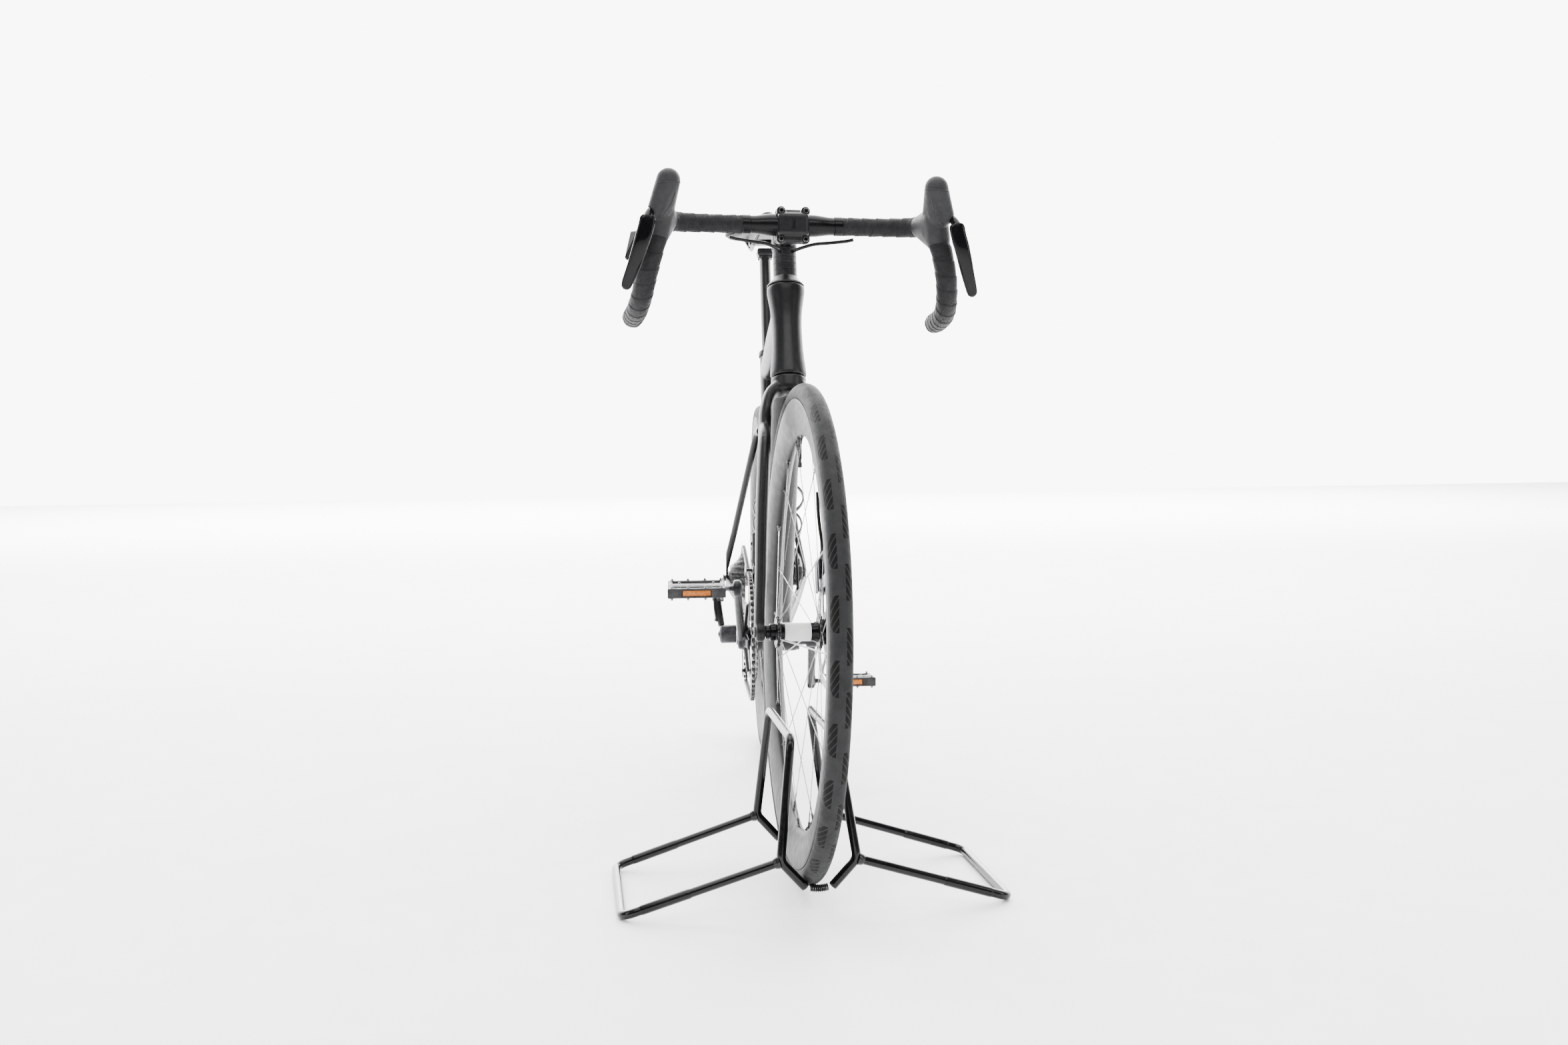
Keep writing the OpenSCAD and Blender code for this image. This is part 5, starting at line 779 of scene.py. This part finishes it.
# chain route
UPC, LOC = np.array([6, 229.0]), np.array([36, 160.0]); cA, cB = np.array([BBP[0], BBP[2]]), np.array([0, R]); RAc, RBc, RJ = prad(52), prad(30), 22.5; CY = COGY[11]
def tana(p, q, r1, r2, s, cross=False):
    d = q - p; return math.atan2(d[1], d[0]) + s * math.acos((r1 + (r2 if cross else -r2)) / np.linalg.norm(d))
def upn(a, b):
    while a < b: a += 2 * math.pi
    return a
def dnn(a, b):
    while a > b: a -= 2 * math.pi
    return a
tAB = tana(cA, cB, RAc, RBc, -1); aU = tana(cB, UPC, RBc, RJ, -1, True); aL = tana(UPC, LOC, RJ, RJ, 1, True); tLA = tana(LOC, cA, RJ, RAc, -1)
def parc(c, r, a0, a1, n): return [(c[0] + r * math.cos(a0 + (a1 - a0) * i / n), c[1] + r * math.sin(a0 + (a1 - a0) * i / n)) for i in range(n + 1)]
u0 = upn(aU + math.pi, 0)
CH = np.array(parc(cA, RAc, dnn(tLA, tAB), tAB, 90) + parc(cB, RBc, tAB, upn(aU, tAB), 50) + parc(UPC, RJ, u0, dnn(aL, u0), 24) + parc(LOC, RJ, aL + math.pi, upn(tLA, aL + math.pi), 30))
CH = np.concatenate([CH, CH[:1]]); sl = np.concatenate([[0], np.cumsum(np.linalg.norm(np.diff(CH, axis=0), axis=1))]); NL = int(round(sl[-1] / 12.7 / 2)) * 2
def chy(x): return -43.5 if x > BBP[0] - 60 else CY if x < 60 else CY + (-43.5 - CY) * (x - 60) / (BBP[0] - 120)
q = np.linspace(0, sl[-1], NL + 1); CP = [np.array([np.interp(t, sl, CH[:, 0]), 0, np.interp(t, sl, CH[:, 1])]) for t in q]
for p in CP: p[1] = chy(p[0])
m = M()
def plate(a, b, off, r, waist, t=0.9):
    d = unit([b[0] - a[0], 0, b[2] - a[2]]); nrm = np.array([-d[2], 0, d[0]]); L = np.linalg.norm(b - a); out = []
    for k in range(7): an = math.pi / 2 + 0.35 + (math.pi - 0.7) * k / 6; out.append(a + d * r * math.cos(an) + nrm * r * math.sin(an))
    out.append((a + b) / 2 - nrm * waist)
    for k in range(7): an = -math.pi / 2 + 0.35 + (math.pi - 0.7) * k / 6; out.append(b + d * r * math.cos(an) + nrm * r * math.sin(an))
    out.append((a + b) / 2 + nrm * waist); out = np.array(out); n = len(out)
    v = np.concatenate([out + [0, off - t / 2, 0], out + [0, off + t / 2, 0]]); f = [tuple(range(n)), tuple(range(2 * n - 1, n - 1, -1))] + [(i, n + i, n + (i + 1) % n, (i + 1) % n) for i in range(n)]
    return v, f
for i in range(NL):
    a, b = CP[i], CP[i + 1]; inn = i % 2
    for s in (-1, 1): m.add(*plate(a, b, s * (2.25 if inn else 3.2), 3.9 if inn else 3.7, 2.5, 0.85), mi=inn)
    m.add(*rod(a + [0, -1.8, 0], a + [0, 1.8, 0], 3.5, 14), mi=1); m.add(*rod(a + [0, -3.9, 0], a + [0, 3.9, 0], 1.7, 10, bev=0.2), mi=0)
make("chain_v", m, toB, "frame", ["chain_steel", "chain_dark"], ("chain",), smooth=35)
# derailleur cage and jockeys
m = M(); dC = LOC - UPC; dl = np.linalg.norm(dC); du = dC / dl; dn = np.array([-du[1], du[0]])
for k in (-1, 1):
    out = []
    ro, rl_ = (11.5, 13.5)
    for j in range(13): an = math.pi * j / 12; out.append(UPC + (-du * math.sin(an) + dn * math.cos(an)) * ro)
    for t in (0.25, 0.5, 0.75): out.append(UPC + dC * t - dn * (8.2 - 1.4 * math.sin(math.pi * t)))
    for j in range(13): an = math.pi * j / 12; out.append(LOC + (du * math.sin(an) - dn * math.cos(an)) * rl_)
    for t in (0.75, 0.5, 0.25): out.append(UPC + dC * t + dn * (8.2 - 1.4 * math.sin(math.pi * t)))
    m.add(*poly_prism(out, CY + k * 6.2 - 0.8, CY + k * 6.2 + 0.8))
for c in (UPC, LOC): m.add(*rod([c[0], CY - 7, c[1]], [c[0], CY + 7, c[1]], 3, 20)); m.add(*hexbolt([c[0], CY - 7, c[1]], [0, -1, 0], 4.2, 1.2)); m.add(*ydisc([c[0], CY + 7.2, c[1]], 4.4, 1.2, 24, 0.3))
m.add(*ydisc([UPC[0], CY - 10.7, UPC[1]], 8, 7.6, 40, 0.8))
make("derailleur_cage_v", m, toB, "derailleur_cage", "black_alloy", ("derailleur_cage",), smooth=35, bevel=0.0003)
for c, nm in ((UPC, "upper"), (LOC, "lower")):
    m = M(); v, f = ringpart(gear_outline(11, 20.2, 17.0), circ(3.05, 110), -1.1, 1.1, 0.4); m.add(v + [c[0], CY, c[1]], f); m.add(*lathe([(3.1, -2.6), (6.4, -2.6), (6.8, 0), (6.4, 2.6), (3.1, 2.6)], 32, closed=True, off=[c[0], CY, c[1]]))
    make("jockey_" + nm + "_v", m, toB, "jockey_" + nm, "black_plastic", ("jockey_" + nm,), smooth=35)

# ---------------------------------------------------------------- pedals
def pedal(s, tf, nm):
    m = M()
    for x in (-1, 1):                                                  # leading and trailing rails with a recess for the reflector
        m.add(*rbox([x * 40.4, 0, 0], [4.0, 92, 15], 1.6)); m.add(*rbox([x * 43.2, 0, 6.45], [7.2, 93, 3.0], 1.2)); m.add(*rbox([x * 43.2, 0, -6.45], [7.2, 93, 3.0], 1.2))
        for y in (-1, 1): m.add(*rbox([x * 43.2, y * 35.2, 0], [7.2, 23.6, 15.6], 1.8))
        for y in (-1, 1): m.add(*rbox([x * 27, y * 42.8, 0], [36, 7.6, 15.6], 2.6, rot=None))
    for y in (-1, 1):
        m.add(*rbox([0, y * 28, 0], [84, 5.6, 12.4], 2)); m.add(*rbox([0, y * 42.5, 0], [40, 8.6, 16.4], 3))
    m.add(*tube(np.linspace([0, -45, 0], [0, 45, 0], 24), [(0, 8.2), (0.12, 8.4), (0.3, 7.6), (0.7, 7.6), (1, 8.2)], [(0, 16.8), (0.25, 15), (0.5, 13.2), (0.75, 15), (1, 16.8)], n=40, side=(0, 0, 1), e=3))
    for x in (-17, 17): m.add(*rbox([x * 1.0, 0, 0], [4, 84, 13.4], 1.4))
    ob = make("pedal_" + nm + "_v", m, tf, "pedal_" + nm, "pedal_plastic", ("pedal_" + nm,), smooth=38)
    m = M()
    for x in (-43, 43):
        for y in (-40, -14, 14, 40):
            for z in (-1, 1):
                m.add(*rod([x, y, z * 7.4], [x, y, z * 11.5], 1.7, 12, bev=0.4)); m.add(*along([x, y, z * 7.7], [0, 0, z], [(1.6, 0), (3.1, 0), (3.3, 0.7), (2.6, 1.1), (1.6, 1.1)], 6, closed=True))
    for y in (-28, 28):
        for x in (-22, 22):
            for z in (-1, 1): m.add(*rod([x, y, z * 5.8], [x, y, z * 8.6], 1.7, 12, bev=0.4))
    m.add(*ydisc([0, -s * 0 + (46.2 if s > 0 else -46.2), 0], 6.4, 1.2, 32, 0.3))
    make("pedal_pins_" + nm, m, tf, "pedal_" + nm, "pin_steel", smooth=35)
    m = M()
    for x in (-1, 1):
        m.add(*rbox([x * 44.3, 0, 0], [2.2, 45, 8.4], 0.8)); m.add(*rbox([x * 45.4, 0, 3.9], [0.9, 45, 0.9], 0.3)); m.add(*rbox([x * 45.4, 0, -3.9], [0.9, 45, 0.9], 0.3)); m.add(*rbox([x * 45.4, 0, 0], [0.9, 1.2, 8], 0.3))
    make("pedal_reflectors_" + nm + "_v", m, tf, "pedal_" + nm, "reflector", ("pedal_reflectors_" + nm,), smooth=35)
pedal(-1, toPR, "right"); pedal(1, toPL, "left")

# ---------------------------------------------------------------- stand
def half(s, nm):
    m = M()
    m.add(*ptube(route([[130, s * 18, 34.4], [133, s * 50, 70], [112, s * (27.5 if s > 0 else 32), 226.2], [-112, s * (27.5 if s > 0 else 32), 226.2], [-133, s * 50, 70], [-130, s * 18, 34.4]], 16, 12, 3), 6, 32, round_ends=1.2))
    m.add(*ptube(route([[132.6, s * 51.5, 69.4], [125, s * 255, 6], [-125, s * 255, 6], [-132.6, s * 51.5, 69.4]], 16, 12, 3), 6, 32, round_ends=1.0))
    for k in (-1, 1):
        c = np.array([k * 132.5, s * 50.5, 69.6]); t = unit([k * -7.6, s * 203.5, -63.4])
        m.add(*ptube(np.array([c + t * 1, c + t * 4, c + t * 7.5, c + t * 9]), [(0, 8.4), (0.4, 8.0), (0.8, 6.7), (1, 6.1)], 28))
        a, b = np.array([k * 128.25, s * 168, 33.1]), np.array([k * 125.85, s * 230, 13.8]); d = unit(b - a)
        m.add(*ptube(np.array([a - d * 1.5, a, a + d * 2, b - d * 2, b, b + d * 1.5]), [(0, 6.05), (0.2, 6.5), (0.4, 6.6), (0.6, 6.6), (0.8, 6.5), (1, 6.05)], 32), mi=1)
    make("stand_" + nm + "_v", m, toS, "stand_" + nm, ["stand_paint", "stand_sleeve"], ("stand_" + nm,), smooth=50)
half(1, "left"); half(-1, "right")
m = M()
for k in (-1, 1):
    n = 520; P = []
    for i in range(n + 1):
        a = 2 * math.pi * 9.5 * i / n; y = -11.6 + 23.2 * i / n; P.append([k * 130 + 4.0 * math.sin(a), y, 32.1 + 4.0 * math.cos(a) + y * y * 0.01])
    m.add(*ptube(np.array(P), 1.12, 8, up=(0, 1, 0.1), round_ends=0.5))
make("stand_springs_v", m, toS, "stand_centre", "spring_steel", ("stand_springs",), smooth=60)

# exact pieces kept from the CAD model get their materials
for nm, mt in (("bottom_bracket", "black_alloy"), ("head_bearings", "bearing_steel")):
    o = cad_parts[nm]
    for s_ in o.material_slots: s_.material = MATS[mt]
    if not o.material_slots: o.data.materials.append(MATS[mt])

# ---------------------------------------------------------------- floor, light, camera
bm = bmesh.new(); bmesh.ops.create_grid(bm, x_segments=2, y_segments=2, size=14.0); me = bpy.data.meshes.new("floor"); bm.to_mesh(me); bm.free(); me.materials.append(MATS["floor"])
fl = bpy.data.objects.new("floor", me); fl.location = (0, 0, -0.0004); bpy.context.scene.collection.objects.link(fl)
w = bpy.data.worlds.new("studio"); bpy.context.scene.world = w; w.use_nodes = True; wn = w.node_tree.nodes; wl = w.node_tree.links
bg = wn["Background"]; tcw = wn.new("ShaderNodeTexCoord"); sx = wn.new("ShaderNodeSeparateXYZ"); wl.new(tcw.outputs["Generated"], sx.inputs[0])
rmp = wn.new("ShaderNodeMapRange"); rmp.interpolation_type = "SMOOTHSTEP"; rmp.inputs["From Min"].default_value = 0.0; rmp.inputs["From Max"].default_value = -0.8; rmp.inputs["To Min"].default_value = 0.13; rmp.inputs["To Max"].default_value = 9.0
wl.new(sx.outputs["X"], rmp.inputs["Value"]); wl.new(rmp.outputs["Result"], bg.inputs["Strength"]); bg.inputs["Color"].default_value = (1, 1, 1, 1)
def light(name, loc, aim, size, power, size_y=None):
    ld = bpy.data.lights.new(name, "AREA"); ld.energy = power; ld.size = size
    if size_y: ld.shape = "RECTANGLE"; ld.size_y = size_y
    lo = bpy.data.objects.new(name, ld); lo.location = loc; lo.rotation_euler = (Vector(aim) - Vector(loc)).to_track_quat("-Z", "Y").to_euler(); bpy.context.scene.collection.objects.link(lo)
light("top", (0.4, 0.0, 3.4), (0.1, 0, 0.3), 3.2, 130, 2.0)
light("front_left", (2.0, 2.7, 1.6), (0.3, 0, 0.5), 0.5, 34, 2.0)
light("front_right", (2.0, -2.7, 1.6), (0.3, 0, 0.5), 0.5, 34, 2.0)
light("floor_front", (2.4, 0.0, 2.6), (1.6, 0, 0.0), 2.6, 60, 1.2)
light("floor_wash_a", (-3.2, 0.0, 2.6), (-3.6, 0, 0.0), 7.0, 560, 3.0)
light("floor_wash_b", (-10.5, 0.0, 3.6), (-10.9, 0, 0.0), 14.0, 5600, 8.0)
yaw, pitch, roll, F_, CZ, TX, TY = math.radians(3.4042), math.radians(3.1282), math.radians(-0.7602), 2441.378, 0.6217, 3.2004, 0.0403
cam = bpy.data.cameras.new("cam"); cam.sensor_width = 36; cam.lens = 36 * F_ / 2352; cam.dof.use_dof = False; cam.clip_start = 0.05; cam.clip_end = 100
co = bpy.data.objects.new("cam", cam); bpy.context.scene.collection.objects.link(co); bpy.context.scene.camera = co
er, ed, ef = np.array([math.sin(yaw), math.cos(yaw), 0]), np.array([0, 0, -1.0]), np.array([-math.cos(yaw), math.sin(yaw), 0])
cp = TX * np.array([math.cos(yaw), -math.sin(yaw), 0]) + TY * er + np.array([OX / 1000, OY / 1000, CZ])
rx = np.array([[1, 0, 0], [0, math.cos(pitch), -math.sin(pitch)], [0, math.sin(pitch), math.cos(pitch)]]); rz = np.array([[math.cos(roll), -math.sin(roll), 0], [math.sin(roll), math.cos(roll), 0], [0, 0, 1]])
MM = rz @ rx; E = np.stack([er, ed, ef]); AX = MM @ E
co.matrix_world = Matrix(((AX[0][0], -AX[1][0], -AX[2][0], cp[0]), (AX[0][1], -AX[1][1], -AX[2][1], cp[1]), (AX[0][2], -AX[1][2], -AX[2][2], cp[2]), (0, 0, 0, 1)))

bpy.context.view_layer.update()
